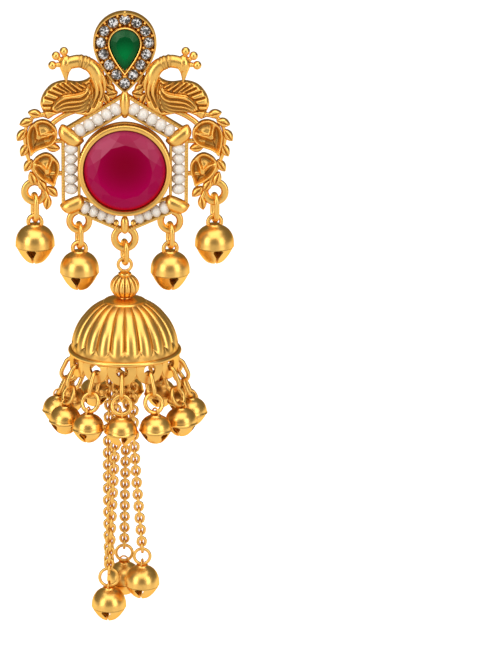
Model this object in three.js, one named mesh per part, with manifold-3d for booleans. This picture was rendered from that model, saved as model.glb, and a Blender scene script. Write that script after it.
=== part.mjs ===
// Jhumka earring: a peacock stud with a round red stone, a fluted dome hung under it,
// a fringe of small bells round the dome and a tassel of fine chains with three bells.
// Millimetres, +Z up, the front faces -Y. The origin is where the ear post leaves the flat
// back of the stud, so everything of the stud lies at negative Y and the post at positive Y.
import * as THREE from "three";
import { mergeVertices } from "three/addons/utils/BufferGeometryUtils.js";
import { ConvexGeometry } from "three/addons/geometries/ConvexGeometry.js";
import Module from "manifold-3d";

// Clearances
const STONE_GAP = 0.1; // stone to its bezel or seat
const HANG_GAP = 0.12; // wire to the wire that it hangs on
const FUSE = 0.1; // how far soldered parts sink into each other

// Ear post
const POST_RADIUS = 0.45;
const POST_LENGTH = 11;
const POST_PAD_RADIUS = 1.6;
const POST_PAD_THICK = 0.5;
const POST_PAD_GAP = 0; // pad to the back of the crest, face to face
const POST_GROOVE_DEPTH = 0.12;
const POST_GROOVE_WIDTH = 0.8;
const POST_TIP = 1.2; // rounded end

// Crest: the pear-shaped setting at the top
const PEAR_RADIUS = 5.25; // its round top
const PEAR_TIP = 8.5; // from the centre of the round to the tip
const PEAR_CENTRE_Z = 3.15;
const PEAR_PLATE = 1.3;
const PEAR_RIM_WIDTH = 0.32;
const PEAR_RIM_HEIGHT = 2.0;
const PEAR_KNOB_RADIUS = 0.5;
const EMERALD_RADIUS = 2.4;
const EMERALD_TIP = 4.6;
const EMERALD_GIRDLE = 2.2; // height of the girdle above the back plane
const EMERALD_CROWN = 0.85;
const EMERALD_PAVILION = 0.8;
const EMERALD_BEZEL_WALL = 0.4;
const EMERALD_BEZEL_HEIGHT = 2.45;
const WHITE_COUNT = 14;
const WHITE_RADIUS = 0.85;
const WHITE_LINE = 1.3; // line of the white stones, inside the crest's edge
const WHITE_CROWN = 0.35;
const WHITE_PAVILION = 0.5;
const WHITE_GIRDLE = 1.45;
const WHITE_SEAT_FLOOR = 0.5;
const PRONG_RADIUS = 0.27;
const PRONG_SPREAD = 0.78; // prong bead off the line of the white stones

// Hexagon frame and the round red stone
const RUBY_Z = -18.2;
const RUBY_RADIUS = 6.8;
const RUBY_GIRDLE = 2.9;
const RUBY_CROWN = 1.25;
const RUBY_PAVILION = 1.6;
const RUBY_TABLE = 0.62; // table's share of the stone
const BEZEL_WALL = 0.6;
const BEZEL_LIP = 0.32; // how far the rolled lip stands out
const BEZEL_HEIGHT = 3.5;
const BEZEL_FOOT = 0.25; // how far the foot tier stands out
const BEZEL_FOOT_HEIGHT = 0.7;
const BEZEL_FLOOR = 0.9;
const HEX_HALF = 10.6; // centre line to the outside of the upright rails
const HEX_TOP = 13.0; // stone's centre to the top corner
const HEX_BOTTOM = 11.2;
const HEX_SHOULDER = 6.55; // stone's centre to the side corners, up and down
const RAIL_WIDTH = 0.5;
const RAIL_BACK = 0.3;
const RAIL_FRONT = 1.9;
const INNER_RAIL_WIDTH = 0.38;
const INNER_RAIL_FRONT = 1.5;
const CLAW_RADIUS = 0.8;
const CLAW_LENGTH = 4.2;
const SPINDLE_RADIUS = 0.88;
const SPINDLE_LENGTH = 4.9;
const SPINDLE_LAP = 0.5; // its top end runs this far into the tip of the crest
const LOW_SPINDLE_RADIUS = 0.72;
const LOW_SPINDLE_LENGTH = 3.2;
const CLAW_HEIGHT = 1.5; // height of the claws' centre line

// Seed pearls
const PEARL_RADIUS = 1.0;
const PEARL_PITCH = 1.72;
const PEARL_LOW_PITCH = 1.5; // the two short rows at the bottom
const PEARL_GAP = 0.12; // pearl to rail
const PEARL_HEIGHT = 1.45; // string above the back plane
const PEARL_SIDES = 10;

// Peacocks
const BIRD_X = 3.15; // centre line to the breast
const BIRD_LENGTH = 10.9;
const BIRD_HEIGHT = 11.0;
const BIRD_STAND = 0.935; // share of its height above the place where it meets the hexagon
const BIRD_FOOT_DROP = 3.785; // from the hexagon's top down to that place
const BIRD_BACK = 0.4;
const BIRD_BODY = 1.4; // thickness of the body's flat core
const BIRD_CROWN = 0.6; // rounding over the core
const NECK_RADIUS = 1.12;
const HEAD_RADIUS = 1.12;
const BEAK_LENGTH = 1.9;
const CREST_BEAD_RADIUS = 0.7;
const FEATHER_RAISE = 0.35;
const BUD_LENGTH = 2.4;
const BUD_WIDTH = 1.2;

// Leaf sprays
const SPRAY_TOP = -8.9;
const SPRAY_HEIGHT = 15.5;
const SPRAY_REACH = 7.0; // hexagon's side to the outermost leaf
const SPRAY_HEIGHT_Y = 1.1; // the leaves' middle above the back plane
const LEAF_LENGTH = 2.3;
const LEAF_WIDTH = 1.15;
const BIG_LEAF_LENGTH = 5.9;
const BIG_LEAF_WIDTH = 4.7;
const BIG_LEAF_BACK = 0.5;
const BIG_LEAF_FLOOR = 0.8;
const BIG_LEAF_RIM = 1.3;
const BIG_LEAF_EDGE = 0.78; // the sunk field's share of the leaf
const STEM_RADIUS = 0.5;

// Rings soldered to the lower edge of the stud, and what hangs on them
const RING_HEIGHT = 0.95; // middle of the ring above the back plane
const RING_THICK = 0.7;
const LINK_WIRE = 0.88;
const LINK_WIDTH = 3.6;
const OUTER_RING_INSIDE = 2.5; // from the outermost leaf in to the outer rings' middle
const OUTER_RING_RISE = 2.1; // from the spray's end up to it
const OUTER_RING_X = HEX_HALF + SPRAY_REACH - OUTER_RING_INSIDE;
const OUTER_RING_Z = SPRAY_TOP - SPRAY_HEIGHT + OUTER_RING_RISE;
const STUD_RINGS = [
  { side: -1, x: OUTER_RING_X, z: OUTER_RING_Z, outer: 2.3, hole: 1.05, link: 5.3 },
  { side: -1, x: 7.65, z: -27.35, outer: 2.2, hole: 1.05, link: 4.9 },
  { side: 1, x: 7.65, z: -27.35, outer: 2.2, hole: 1.05, link: 4.9 },
  { side: 1, x: OUTER_RING_X, z: OUTER_RING_Z, outer: 2.3, hole: 1.05, link: 5.3 },
];
const CENTRE_RING = { z: -30.35, outer: 2.35, hole: 1.1 };
const SWING_LINK_LENGTH = 4.7;

// Round slotted bells: radius, height above and below the widest line, seam below it
const STUD_BELL = { radius: 3.3, top: 2.75, low: 3.75, seam: 1.15, flange: 0.05 };
const FRINGE_BELL = { radius: 2.68, top: 2.1, low: 2.65, seam: 0.3, flange: 0.14 };
const TASSEL_BELL = { radius: 3.0, top: 2.75, low: 3.0, seam: 1.0, flange: 0.04 };
const BELL_WALL = 0.5;
const SLIT_WIDTH = 0.35;
const SLOT_SHARE = 0.28; // half width of the slot's mouth over the bell's radius
const BAIL_RADIUS = 1.5; // outside of the bail on the stud's bells
const BAIL_WIRE = 0.55;
const BAIL_RISE = 0.65; // the bail's middle above the bell's top

// Dome
const EYE_RADIUS = 1.4; // outside of the eye on top
const EYE_WIRE = 0.56;
const COLLAR_RADIUS = 1.1; // plain collars above and below the ribbed ball
const COLLAR_HEIGHT = 0.32;
const BALL_RADIUS = 2.5;
const BALL_HEIGHT = 4.2;
const BALL_RIBS = 14;
const BALL_RIB_DEPTH = 0.1; // share of its radius
const CAP_RADIUS = 3.5;
const CAP_THICK = 0.3;
const DOME_RADIUS = 9.1;
const DOME_HEIGHT = 8.6;
const DOME_WALL = 0.7;
const FLUTE_COUNT = 21;
const FLUTE_DEPTH = 0.045; // share of the dome's radius
const FLANGE_TURN = 0.09; // where the flutes end over the rim, in radians up the curve
const RIM_RADIUS = 9.65;
const RIM_WIRE = 0.8;
const HOOK_RADIUS = 2.3; // ring under the dome's crown that carries the chains
const HOOK_WIRE = 0.7;
const HOOK_DROP = 1.9; // the ring's middle under the crown

// Scalloped edge and the fringe of bells
const FRINGE_COUNT = 12;
const FRINGE_TURN = -0.05; // the front scallop stands a little to the left, in radians
const SCALLOP_RADIUS = 2.5;
const SCALLOP_HOLE = 1.02;
const SCALLOP_THICK = 0.55;
const SCALLOP_DROP = 1.15; // the scallop's centre under the rim's plane
const FRINGE_LINK_LENGTH = 4.8;
const FRINGE_LINK_WIDTH = 3.1;
const FRINGE_WIRE = 0.74;
const FRINGE_RING_RADIUS = 1.95;
const FRINGE_RING_WIRE = 0.58;
const FRINGE_GAP = 0.25; // between neighbouring bells
const SMALL_EYE = 0.7; // radius of the small eye on a bell that hangs in a ring
const SMALL_EYE_DROP = 0.25; // bell's top under the ring
const EYE_STRETCH = 1.4; // its height over its width

// Chains and the bells at their ends
const CHAIN_RADIUS = 0.9;
const CHAIN_SIDES = 8;
const CHAIN_STEPS = 8;
const CHAIN_TOP_GAP = 0.3;
const END_GAP = 0.3; // chain end to its ring
const TASSEL_WIRE = 0.56;
const TASSEL_BELLS = [
  { name: "tassel_bell_1", x: -2.75, y: 0, ringZ: -91.3, ring: 1.88, turn: 0 },
  { name: "tassel_bell_2", x: -0.1, y: 4.9, ringZ: -88.6, ring: 1.7, turn: 1.45 },
  { name: "tassel_bell_3", x: 3.0, y: -0.6, ringZ: -87.2, ring: 1.65, turn: 0 },
];
// The four strands: where each leaves the hook ring, in turns round it, which bell it
// ends at, how far beside that bell's ring, and one point chosen on its way.
const CHAIN_ROUTES = [
  { name: "chain_1", turn: 0.42, bell: 0, aside: 1.1, way: [-2.85, 1.1, -66] },
  { name: "chain_2", turn: 0.66, bell: 0, aside: -1.1, way: [-1.65, -1.15, -66] },
  { name: "chain_3", turn: 0.13, bell: 1, aside: 0, way: [0.25, 1.9, -66] },
  { name: "chain_4", turn: 0.88, bell: 2, aside: 0, way: [1.6, -1.15, -66] },
];

// Fineness of the meshes
const WELD = 1e-4;
const FLATTEN = 0.03; // detail finer than this is merged into its neighbours
const WIRE_SIDES = 6;
const LINK_STEPS = 10;
const SMALL_WIRE_SIDES = 5;
const BELL_SIDES = 12;
const SMALL_BELL_SIDES = 10;
const CAVITY_SIDES = 6;
const ROUND_SIDES = 28;
const RING_SIDES = 12;
const DOME_INNER_SIDES = 21;
const DOME_ROWS = 4;

const wasm = await Module();
wasm.setup();

// A closed geometry as a solid: its corners are merged and collapsed triangles dropped.
function solid(geometry) {
  const open = geometry.index ? geometry.toNonIndexed() : geometry;
  const bare = new THREE.BufferGeometry();
  bare.setAttribute("position", open.getAttribute("position").clone());
  const merged = mergeVertices(bare, WELD);
  const corners = Array.from(merged.index.array);
  const kept = [];
  for (let i = 0; i < corners.length; i += 3) {
    const [a, b, c] = corners.slice(i, i + 3);
    if (a !== b && b !== c && c !== a) kept.push(a, b, c);
  }
  const vertProperties = merged.attributes.position.array;
  const triVerts = new Uint32Array(kept);
  return new wasm.Manifold(new wasm.Mesh({ numProp: 3, vertProperties, triVerts }));
}

function fuse(geometries) {
  return geometries.map(solid).reduce((all, one) => all.add(one));
}

function cut(body, geometries) {
  return geometries.map(solid).reduce((all, one) => all.subtract(one), body);
}

// A solid as a plain flat-shaded geometry.
function geometryOf(body) {
  const mesh = body.simplify(FLATTEN).getMesh();
  const corners = new Float32Array(mesh.numVert * 3);
  for (let i = 0; i < mesh.numVert; i++) {
    const from = i * mesh.numProp;
    corners.set(mesh.vertProperties.subarray(from, from + 3), i * 3);
  }
  const made = new THREE.BufferGeometry();
  made.setAttribute("position", new THREE.BufferAttribute(corners, 3));
  made.setIndex(new THREE.BufferAttribute(mesh.triVerts, 1));
  return made;
}

// A profile of [radius, height] pairs turned round the front-facing axis Y, or round Z.
// It closes along the axis where it starts there, and else on itself.
function turned(profile, sides, axis = "y") {
  const points = profile.map(([radius, height]) => new THREE.Vector2(radius, height));
  if (THREE.ShapeUtils.area(points) < 0) points.reverse();
  if (profile[0][0] > 0) points.push(points[0].clone());
  const made = new THREE.LatheGeometry(points, sides);
  return axis === "z" ? made.rotateX(Math.PI / 2) : made;
}

// A shape drawn in the front view, raised from one height over the back plane to another.
function relief(shape, back, front, curveSegments = 6) {
  const options = { depth: front - back, bevelEnabled: false, curveSegments };
  const made = new THREE.ExtrudeGeometry(shape, options);
  return made.rotateX(Math.PI / 2).translate(0, -back, 0);
}

// The same with rounded edges on both faces.
function pillow(shape, back, core, crown, inset) {
  const made = new THREE.ExtrudeGeometry(shape, {
    depth: core,
    bevelThickness: crown,
    bevelSize: inset,
    bevelOffset: -inset,
    bevelSegments: 2,
    curveSegments: 3,
  });
  return made.rotateX(Math.PI / 2).translate(0, -back - crown, 0);
}

function polygon(radius, sides) {
  const points = [];
  for (let i = 0; i < sides; i++) {
    const angle = (2 * Math.PI * i) / sides;
    points.push(new THREE.Vector2(radius * Math.cos(angle), radius * Math.sin(angle)));
  }
  return new THREE.Shape(points);
}

// A wire of even thickness along a smooth curve through the points.
function wire(points, radius, sides, steps) {
  const route = new THREE.CatmullRomCurve3(points.map((p) => new THREE.Vector3(...p)));
  return new THREE.ExtrudeGeometry(polygon(radius, sides), { extrudePath: route, steps });
}

// A round ring in the front view: outer radius and wire thickness.
function hoop(outer, thick, sides = WIRE_SIDES, steps = LINK_STEPS) {
  const made = new THREE.TorusGeometry(outer - thick / 2, thick / 2, sides, steps);
  return made.rotateZ(Math.PI / steps).rotateX(Math.PI / 2);
}

// An oval link in the front view: a ring whose halves are drawn apart up and down.
function ovalLink(length, width, thick, sides = WIRE_SIDES) {
  const made = hoop(width / 2, thick, sides);
  const place = made.attributes.position;
  const shift = (length - width) / 2;
  for (let i = 0; i < place.count; i++) {
    place.setZ(i, place.getZ(i) + Math.sign(place.getZ(i)) * shift);
  }
  return made;
}

// Mirrored geometries for the right half of the stud, turned the right way out again.
function mirrored(geometry) {
  const made = (geometry.index ? geometry.toNonIndexed() : geometry.clone()).scale(-1, 1, 1);
  const place = made.attributes.position;
  for (let i = 0; i < place.count; i += 3) {
    const [x, y, z] = [place.getX(i), place.getY(i), place.getZ(i)];
    place.setXYZ(i, place.getX(i + 1), place.getY(i + 1), place.getZ(i + 1));
    place.setXYZ(i + 1, x, y, z);
  }
  return made;
}

// Materials
const gold = new THREE.MeshStandardMaterial({ color: 0xe0a848, roughness: 0.3, metalness: 1 });
const red = new THREE.MeshStandardMaterial({ color: 0x96003c, roughness: 0.1, metalness: 0 });
const green = new THREE.MeshStandardMaterial({ color: 0x007d3c, roughness: 0.1, metalness: 0 });
const white = new THREE.MeshStandardMaterial({ color: 0xe8e8ec, roughness: 0.05, metalness: 0 });
const pearl = new THREE.MeshStandardMaterial({ color: 0xf5f0eb, roughness: 0.3, metalness: 0 });

function named(name, geometry, material) {
  const made = new THREE.Mesh(geometry, material);
  made.name = name;
  return made;
}

// A pear outline: a round top whose ends run in curves to the tip under it.
function pear(radius, tip) {
  const drop = 0.26; // how far below its middle the round ends, in radians
  const reach = 0.667 * radius;
  const [side, low] = [radius * Math.cos(drop), -radius * Math.sin(drop)];
  const [bendX, bendZ] = [side - reach * Math.sin(drop), low - reach * Math.cos(drop)];
  const shape = new THREE.Shape();
  shape.moveTo(0, -tip);
  shape.quadraticCurveTo(bendX, bendZ, side, low);
  shape.absarc(0, 0, radius, -drop, Math.PI + drop, false);
  shape.quadraticCurveTo(-bendX, bendZ, 0, -tip);
  return shape;
}

function pearInset(radius, tip, inset) {
  const tipInset = 1.3 * inset;
  return pear(radius - inset, tip - tipInset);
}

// Where the white stones sit: evenly along the pear line inside the crest's edge.
function whitePlaces(offset = 0, shift = 0) {
  const line = pearInset(PEAR_RADIUS, PEAR_TIP, WHITE_LINE);
  const places = [];
  for (let i = 0; i < WHITE_COUNT; i++) {
    const share = ((i + shift) / WHITE_COUNT) % 1;
    const at = line.getPointAt(share);
    const along = line.getTangentAt(share);
    places.push([at.x + along.y * offset, at.y - along.x * offset + PEAR_CENTRE_Z]);
  }
  return places;
}

// Cut stones

// The hull of a table, a girdle and a lower outline or point, each a list of [x, z] at a height.
function cutStone(levels) {
  const corners = [];
  for (const { height, outline } of levels) {
    for (const [x, z] of outline) corners.push(new THREE.Vector3(x, -height, z));
  }
  return new ConvexGeometry(corners);
}

function circleOutline(radius, sides, turn = 0) {
  const places = [];
  for (let i = 0; i < sides; i++) {
    const angle = (2 * Math.PI * (i + turn)) / sides;
    places.push([radius * Math.sin(angle), radius * Math.cos(angle)]);
  }
  return places;
}

function pearOutline(radius, tip, sides) {
  const line = pear(radius, tip);
  const places = [];
  for (let i = 0; i < sides; i++) {
    const at = line.getPointAt(i / sides);
    places.push([at.x, at.y]);
  }
  return places;
}

function whiteStone() {
  const made = cutStone([
    { height: WHITE_GIRDLE - WHITE_PAVILION, outline: [[0, 0]] },
    { height: WHITE_GIRDLE, outline: circleOutline(WHITE_RADIUS, 8) },
    { height: WHITE_GIRDLE + WHITE_CROWN, outline: circleOutline(0.55 * WHITE_RADIUS, 8, 0.5) },
  ]);
  return made;
}

function rubyStone() {
  const sides = 24;
  const tableRadius = RUBY_TABLE * RUBY_RADIUS;
  return cutStone([
    { height: RUBY_GIRDLE - RUBY_PAVILION, outline: circleOutline(0.4 * RUBY_RADIUS, 12) },
    { height: RUBY_GIRDLE, outline: circleOutline(RUBY_RADIUS, sides) },
    { height: RUBY_GIRDLE + 0.6 * RUBY_CROWN, outline: circleOutline(0.86 * RUBY_RADIUS, 12, 0.5) },
    { height: RUBY_GIRDLE + RUBY_CROWN, outline: circleOutline(tableRadius, 12) },
  ]);
}

function emeraldStone() {
  const sides = 16;
  const keel = [[0, 0.3 * EMERALD_RADIUS], [0, -0.35 * EMERALD_TIP]];
  return cutStone([
    { height: EMERALD_GIRDLE - EMERALD_PAVILION, outline: keel },
    { height: EMERALD_GIRDLE, outline: pearOutline(EMERALD_RADIUS, EMERALD_TIP, sides) },
    {
      height: EMERALD_GIRDLE + EMERALD_CROWN,
      outline: pearOutline(0.6 * EMERALD_RADIUS, 0.6 * EMERALD_TIP, sides / 2),
    },
  ]);
}

// Stud frame: the crest setting

function crest() {
  const plate = relief(pear(PEAR_RADIUS, PEAR_TIP), 0, PEAR_PLATE);
  const rim = relief(pear(PEAR_RADIUS, PEAR_TIP), PEAR_PLATE - FUSE, PEAR_RIM_HEIGHT);
  const field = relief(
    pearInset(PEAR_RADIUS, PEAR_TIP, PEAR_RIM_WIDTH), PEAR_PLATE, PEAR_RIM_HEIGHT + 1,
  );
  const outer = (EMERALD_RADIUS + EMERALD_BEZEL_WALL) / EMERALD_RADIUS;
  const inner = (EMERALD_RADIUS + STONE_GAP) / EMERALD_RADIUS;
  const bezel = relief(
    pear(outer * EMERALD_RADIUS, outer * EMERALD_TIP), PEAR_PLATE - FUSE, EMERALD_BEZEL_HEIGHT,
  );
  const seat = relief(
    pear(inner * EMERALD_RADIUS, inner * EMERALD_TIP), PEAR_PLATE, EMERALD_BEZEL_HEIGHT + 1,
  );
  const beads = [];
  for (const side of [-1, 1]) {
    for (const [x, z] of whitePlaces(side * PRONG_SPREAD, 0.5)) {
      const bead = new THREE.OctahedronGeometry(PRONG_RADIUS, 0);
      beads.push(bead.translate(x, -PEAR_PLATE, z - PEAR_CENTRE_Z));
    }
  }
  const knob = new THREE.SphereGeometry(PEAR_KNOB_RADIUS, 8, 5);
  knob.translate(0, PEAR_KNOB_RADIUS - PEAR_RIM_HEIGHT, PEAR_RADIUS - PEAR_KNOB_RADIUS / 2);
  const pockets = whitePlaces().map(([x, z]) => {
    const radius = WHITE_RADIUS + STONE_GAP;
    const profile = [
      [0, -WHITE_SEAT_FLOOR],
      [radius, -WHITE_SEAT_FLOOR],
      [radius, -PEAR_RIM_HEIGHT - 1],
      [0, -PEAR_RIM_HEIGHT - 1],
    ];
    return turned(profile, 8).translate(x, 0, z - PEAR_CENTRE_Z);
  });
  const walls = cut(fuse([plate, rim]), [field]);
  const ring = cut(solid(bezel), [seat]);
  const all = fuse([knob, ...beads]);
  return cut(walls.add(ring).add(all), pockets).translate([0, 0, PEAR_CENTRE_Z]);
}

// Stud frame: hexagon, bezel and claws

function hexCorners(inset) {
  const half = HEX_HALF - inset;
  const slope = 1.15 * inset; // the sloping rails move in along the centre line by more
  return [
    [0, HEX_TOP - slope],
    [-half, HEX_SHOULDER - inset / 2],
    [-half, -HEX_SHOULDER + inset / 2],
    [0, -HEX_BOTTOM + slope],
    [half, -HEX_SHOULDER + inset / 2],
    [half, HEX_SHOULDER - inset / 2],
  ];
}

function hexShape(inset) {
  const shape = new THREE.Shape();
  hexCorners(inset).forEach(([x, z], i) => (i ? shape.lineTo(x, z) : shape.moveTo(x, z)));
  return shape;
}

const CHANNEL = 2 * (PEARL_RADIUS + PEARL_GAP); // between the two rails of the frame

function hexagon() {
  const outer = hexShape(0);
  outer.holes.push(hexShape(RAIL_WIDTH));
  const inner = hexShape(RAIL_WIDTH + CHANNEL);
  inner.holes.push(hexShape(RAIL_WIDTH + CHANNEL + INNER_RAIL_WIDTH));
  return [relief(outer, RAIL_BACK, RAIL_FRONT), relief(inner, RAIL_BACK, INNER_RAIL_FRONT)];
}

// The bezel of the red stone on its foot tier, with a rolled lip.
function rubySetting() {
  const inner = RUBY_RADIUS + STONE_GAP;
  const outer = inner + BEZEL_WALL;
  const profile = [
    [0, 0],
    [outer + BEZEL_FOOT, 0],
    [outer + BEZEL_FOOT, -BEZEL_FOOT_HEIGHT],
    [outer, -BEZEL_FOOT_HEIGHT - BEZEL_FOOT / 2],
    [outer, -BEZEL_HEIGHT + 2 * BEZEL_LIP],
    [outer + BEZEL_LIP, -BEZEL_HEIGHT + BEZEL_LIP],
    [outer, -BEZEL_HEIGHT],
    [inner, -BEZEL_HEIGHT + BEZEL_LIP],
    [inner, -BEZEL_FLOOR],
    [0, -BEZEL_FLOOR],
  ];
  return turned(profile, ROUND_SIDES);
}

// A spindle-shaped or barrel claw along a line in the front view.
function claw(radius, length, x, z, angle) {
  const profile = [
    [0, -length / 2],
    [0.7 * radius, -0.35 * length],
    [radius, 0],
    [0.7 * radius, 0.35 * length],
    [0, length / 2],
  ];
  const made = turned(profile, 7, "z").rotateY(angle);
  return made.translate(x, -CLAW_HEIGHT, z);
}

function claws() {
  const [, upper, lower] = hexCorners(0);
  const list = [
    claw(SPINDLE_RADIUS, SPINDLE_LENGTH, 0, HEX_TOP + SPINDLE_LAP - SPINDLE_LENGTH / 2, 0),
    claw(LOW_SPINDLE_RADIUS, LOW_SPINDLE_LENGTH, 0, -HEX_BOTTOM + LOW_SPINDLE_LENGTH / 2 - FUSE, 0),
  ];
  for (const [x, z] of [upper, lower]) {
    const angle = Math.atan2(x, z);
    const reach = CLAW_LENGTH / 2 - CLAW_RADIUS / 2;
    const [midX, midZ] = [x - reach * Math.sin(angle), z - reach * Math.cos(angle)];
    list.push(claw(CLAW_RADIUS, CLAW_LENGTH, midX, midZ, angle));
    list.push(claw(CLAW_RADIUS, CLAW_LENGTH, -midX, midZ, -angle));
  }
  return list;
}

// Stud frame: rings along the lower edge

function flatRing(outer, hole, thick) {
  const profile = [
    [hole, -thick / 2],
    [outer, -thick / 2],
    [outer, thick / 2],
    [hole, thick / 2],
  ];
  return turned(profile, RING_SIDES);
}

function studRings() {
  const rings = STUD_RINGS.map(({ side, x, z, outer, hole }) =>
    flatRing(outer, hole, RING_THICK).translate(side * x, -RING_HEIGHT, z),
  );
  const { z, outer, hole } = CENTRE_RING;
  const middle = flatRing(outer, hole, RING_THICK).translate(0, -RING_HEIGHT, z);
  // They end at the outer rail and leave the channel of the pearls free.
  const channel = relief(hexShape(RAIL_WIDTH), -RAIL_FRONT, RAIL_FRONT).translate(0, 0, RUBY_Z);
  return cut(fuse([...rings, middle]), [channel]);
}

// Stud frame: peacocks. Places on a bird are shares of its length, outwards from the
// breast, and of its height, downwards from the top of the neck.

const BIRD_OUTLINE = [
  { out: 0.04, down: 0.29 },
  { out: 0.0, down: 0.46 },
  { out: 0.06, down: 0.81 },
  { out: 0.25, down: 0.935 },
  { out: 0.52, down: 0.92 },
  { out: 0.69, down: 0.91 },
  { out: 0.885, down: 1.0 },
  { out: 0.97, down: 0.86 },
  { out: 1.0, down: 0.75 },
  { out: 0.945, down: 0.6 },
  { out: 0.82, down: 0.45 },
  { out: 0.64, down: 0.415 },
  { out: 0.4, down: 0.435 },
  { out: 0.32, down: 0.32 },
];
const NECK_LINE = [
  { out: 0.15, down: 0.45 },
  { out: 0.17, down: 0.28 },
  { out: 0.27, down: 0.15 },
  { out: 0.4, down: 0.1 },
  { out: 0.53, down: 0.115 },
  { out: 0.62, down: 0.17 },
];
const HEAD_PLACE = { out: 0.61, down: 0.175 };
const CREST_BEADS = [
  { out: 0.635, down: -0.05 },
  { out: 0.755, down: 0.02 },
  { out: 0.81, down: 0.165 },
];
// Buds that bridge the breast and the crest
const BUDS = [
  { out: -0.06, down: 0.53, turn: 60 },
  { out: 0.01, down: 0.69, turn: 25 },
];
// Raised feathers on the wing, the breast and the back band: from, a bend, and to.
const FEATHERS = [
  { from: [0.27, 0.46], bend: [0.5, 0.5], to: [0.62, 0.63], wide: 0.4 },
  { from: [0.25, 0.5], bend: [0.42, 0.62], to: [0.8, 0.79], wide: 0.45 },
  { from: [0.22, 0.56], bend: [0.4, 0.72], to: [0.72, 0.85], wide: 0.45 },
  { from: [0.2, 0.64], bend: [0.34, 0.8], to: [0.56, 0.87], wide: 0.4 },
  { from: [0.19, 0.36], bend: [0.1, 0.55], to: [0.15, 0.73], wide: 0.35 },
  { from: [0.09, 0.35], bend: [0.04, 0.53], to: [0.1, 0.68], wide: 0.3 },
  { from: [0.55, 0.53], bend: [0.58, 0.5], to: [0.6, 0.46], wide: 0.2 },
  { from: [0.72, 0.6], bend: [0.77, 0.56], to: [0.81, 0.5], wide: 0.2 },
  { from: [0.8, 0.71], bend: [0.88, 0.68], to: [0.94, 0.66], wide: 0.2 },
];

function onBird({ out, down }) {
  const foot = RUBY_Z + HEX_TOP - BIRD_FOOT_DROP;
  return [-BIRD_X - out * BIRD_LENGTH, foot + (BIRD_STAND - down) * BIRD_HEIGHT];
}

// A low feather: two arcs between its ends, raised over the body.
function feather({ from, bend, to, wide }) {
  const [x0, z0] = onBird({ out: from[0], down: from[1] });
  const [x1, z1] = onBird({ out: bend[0], down: bend[1] });
  const [x2, z2] = onBird({ out: to[0], down: to[1] });
  const length = Math.hypot(x2 - x0, z2 - z0);
  const [offX, offZ] = [(-(z2 - z0) / length) * wide, ((x2 - x0) / length) * wide];
  const shape = new THREE.Shape();
  shape.moveTo(x0, z0);
  shape.quadraticCurveTo(x1 + offX, z1 + offZ, x2, z2);
  shape.quadraticCurveTo(x1 - offX, z1 - offZ, x0, z0);
  const top = BIRD_BACK + 2 * BIRD_CROWN + BIRD_BODY;
  return relief(shape, BIRD_BACK + BIRD_CROWN, top + FEATHER_RAISE, 2);
}

function peacock() {
  const body = new THREE.Shape(BIRD_OUTLINE.map((row) => new THREE.Vector2(...onBird(row))));
  const middle = -BIRD_BACK - BIRD_CROWN - BIRD_BODY / 2;
  const neck = NECK_LINE.map((row) => {
    const [x, z] = onBird(row);
    return [x, middle, z];
  });
  const [headX, headZ] = onBird(HEAD_PLACE);
  const head = new THREE.SphereGeometry(HEAD_RADIUS, 8, 6).scale(1, 1, 1.25);
  const beak = new THREE.ConeGeometry(HEAD_RADIUS / 2, BEAK_LENGTH, 5).rotateX(-Math.PI / 2);
  const list = [
    pillow(body, BIRD_BACK, BIRD_BODY, BIRD_CROWN, BIRD_CROWN),
    wire(neck, NECK_RADIUS, 6, 7),
    head.translate(headX, middle, headZ),
    beak.translate(headX, middle, headZ - HEAD_RADIUS - BEAK_LENGTH / 2 + 2 * FUSE),
    ...FEATHERS.map(feather),
  ];
  for (const row of BUDS) {
    list.push(almond(BUD_LENGTH, BUD_WIDTH, ...onBird(row), row.turn));
  }
  for (const row of CREST_BEADS) {
    const [x, z] = onBird(row);
    const bead = new THREE.IcosahedronGeometry(CREST_BEAD_RADIUS, 0);
    list.push(bead.translate(x, middle, z));
    list.push(wire([[headX, middle, headZ], [x, middle, z]], CREST_BEAD_RADIUS / 2, 5, 1));
  }
  return list;
}

// Stud frame: leaf sprays. Places are shares of the spray's reach beyond the hexagon's side
// and of its height, and the angle says where a leaf's tip points, in degrees from straight down.

const SMALL_LEAVES = [
  { out: 0.62, down: 0.0, turn: -90 },
  { out: 0.86, down: 0.1, turn: -60 },
  { out: 0.97, down: 0.24, turn: -50 },
  { out: 0.91, down: 0.4, turn: -40 },
  { out: 0.19, down: 0.375, turn: 60 },
  { out: 0.83, down: 0.57, turn: -35 },
  { out: 0.71, down: 0.715, turn: -15 },
  { out: 0.46, down: 0.79, turn: 20 },
  { out: 0.24, down: 0.86, turn: 50 },
  { out: 0.34, down: 0.98, turn: 15 },
];
const BIG_LEAVES = [
  { out: 0.5, down: 0.23, turn: -12 },
  { out: 0.36, down: 0.57, turn: 18 },
];
const STEM_LINE = [
  { out: 0.36, down: 0.0 },
  { out: 0.7, down: 0.05 },
  { out: 0.86, down: 0.22 },
  { out: 0.78, down: 0.5 },
  { out: 0.5, down: 0.76 },
  { out: 0.34, down: 0.92 },
];

function onSpray({ out, down }) {
  return [-HEX_HALF - out * SPRAY_REACH, SPRAY_TOP - down * SPRAY_HEIGHT];
}

function almond(length, width, x, z, degrees) {
  const profile = [
    [0, -length / 2],
    [width / 2, -0.1 * length],
    [width / 2, 0.15 * length],
    [0, length / 2],
  ];
  const made = turned(profile, 6, "z").rotateY((-degrees * Math.PI) / 180);
  return made.translate(x, -SPRAY_HEIGHT_Y, z);
}

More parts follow.
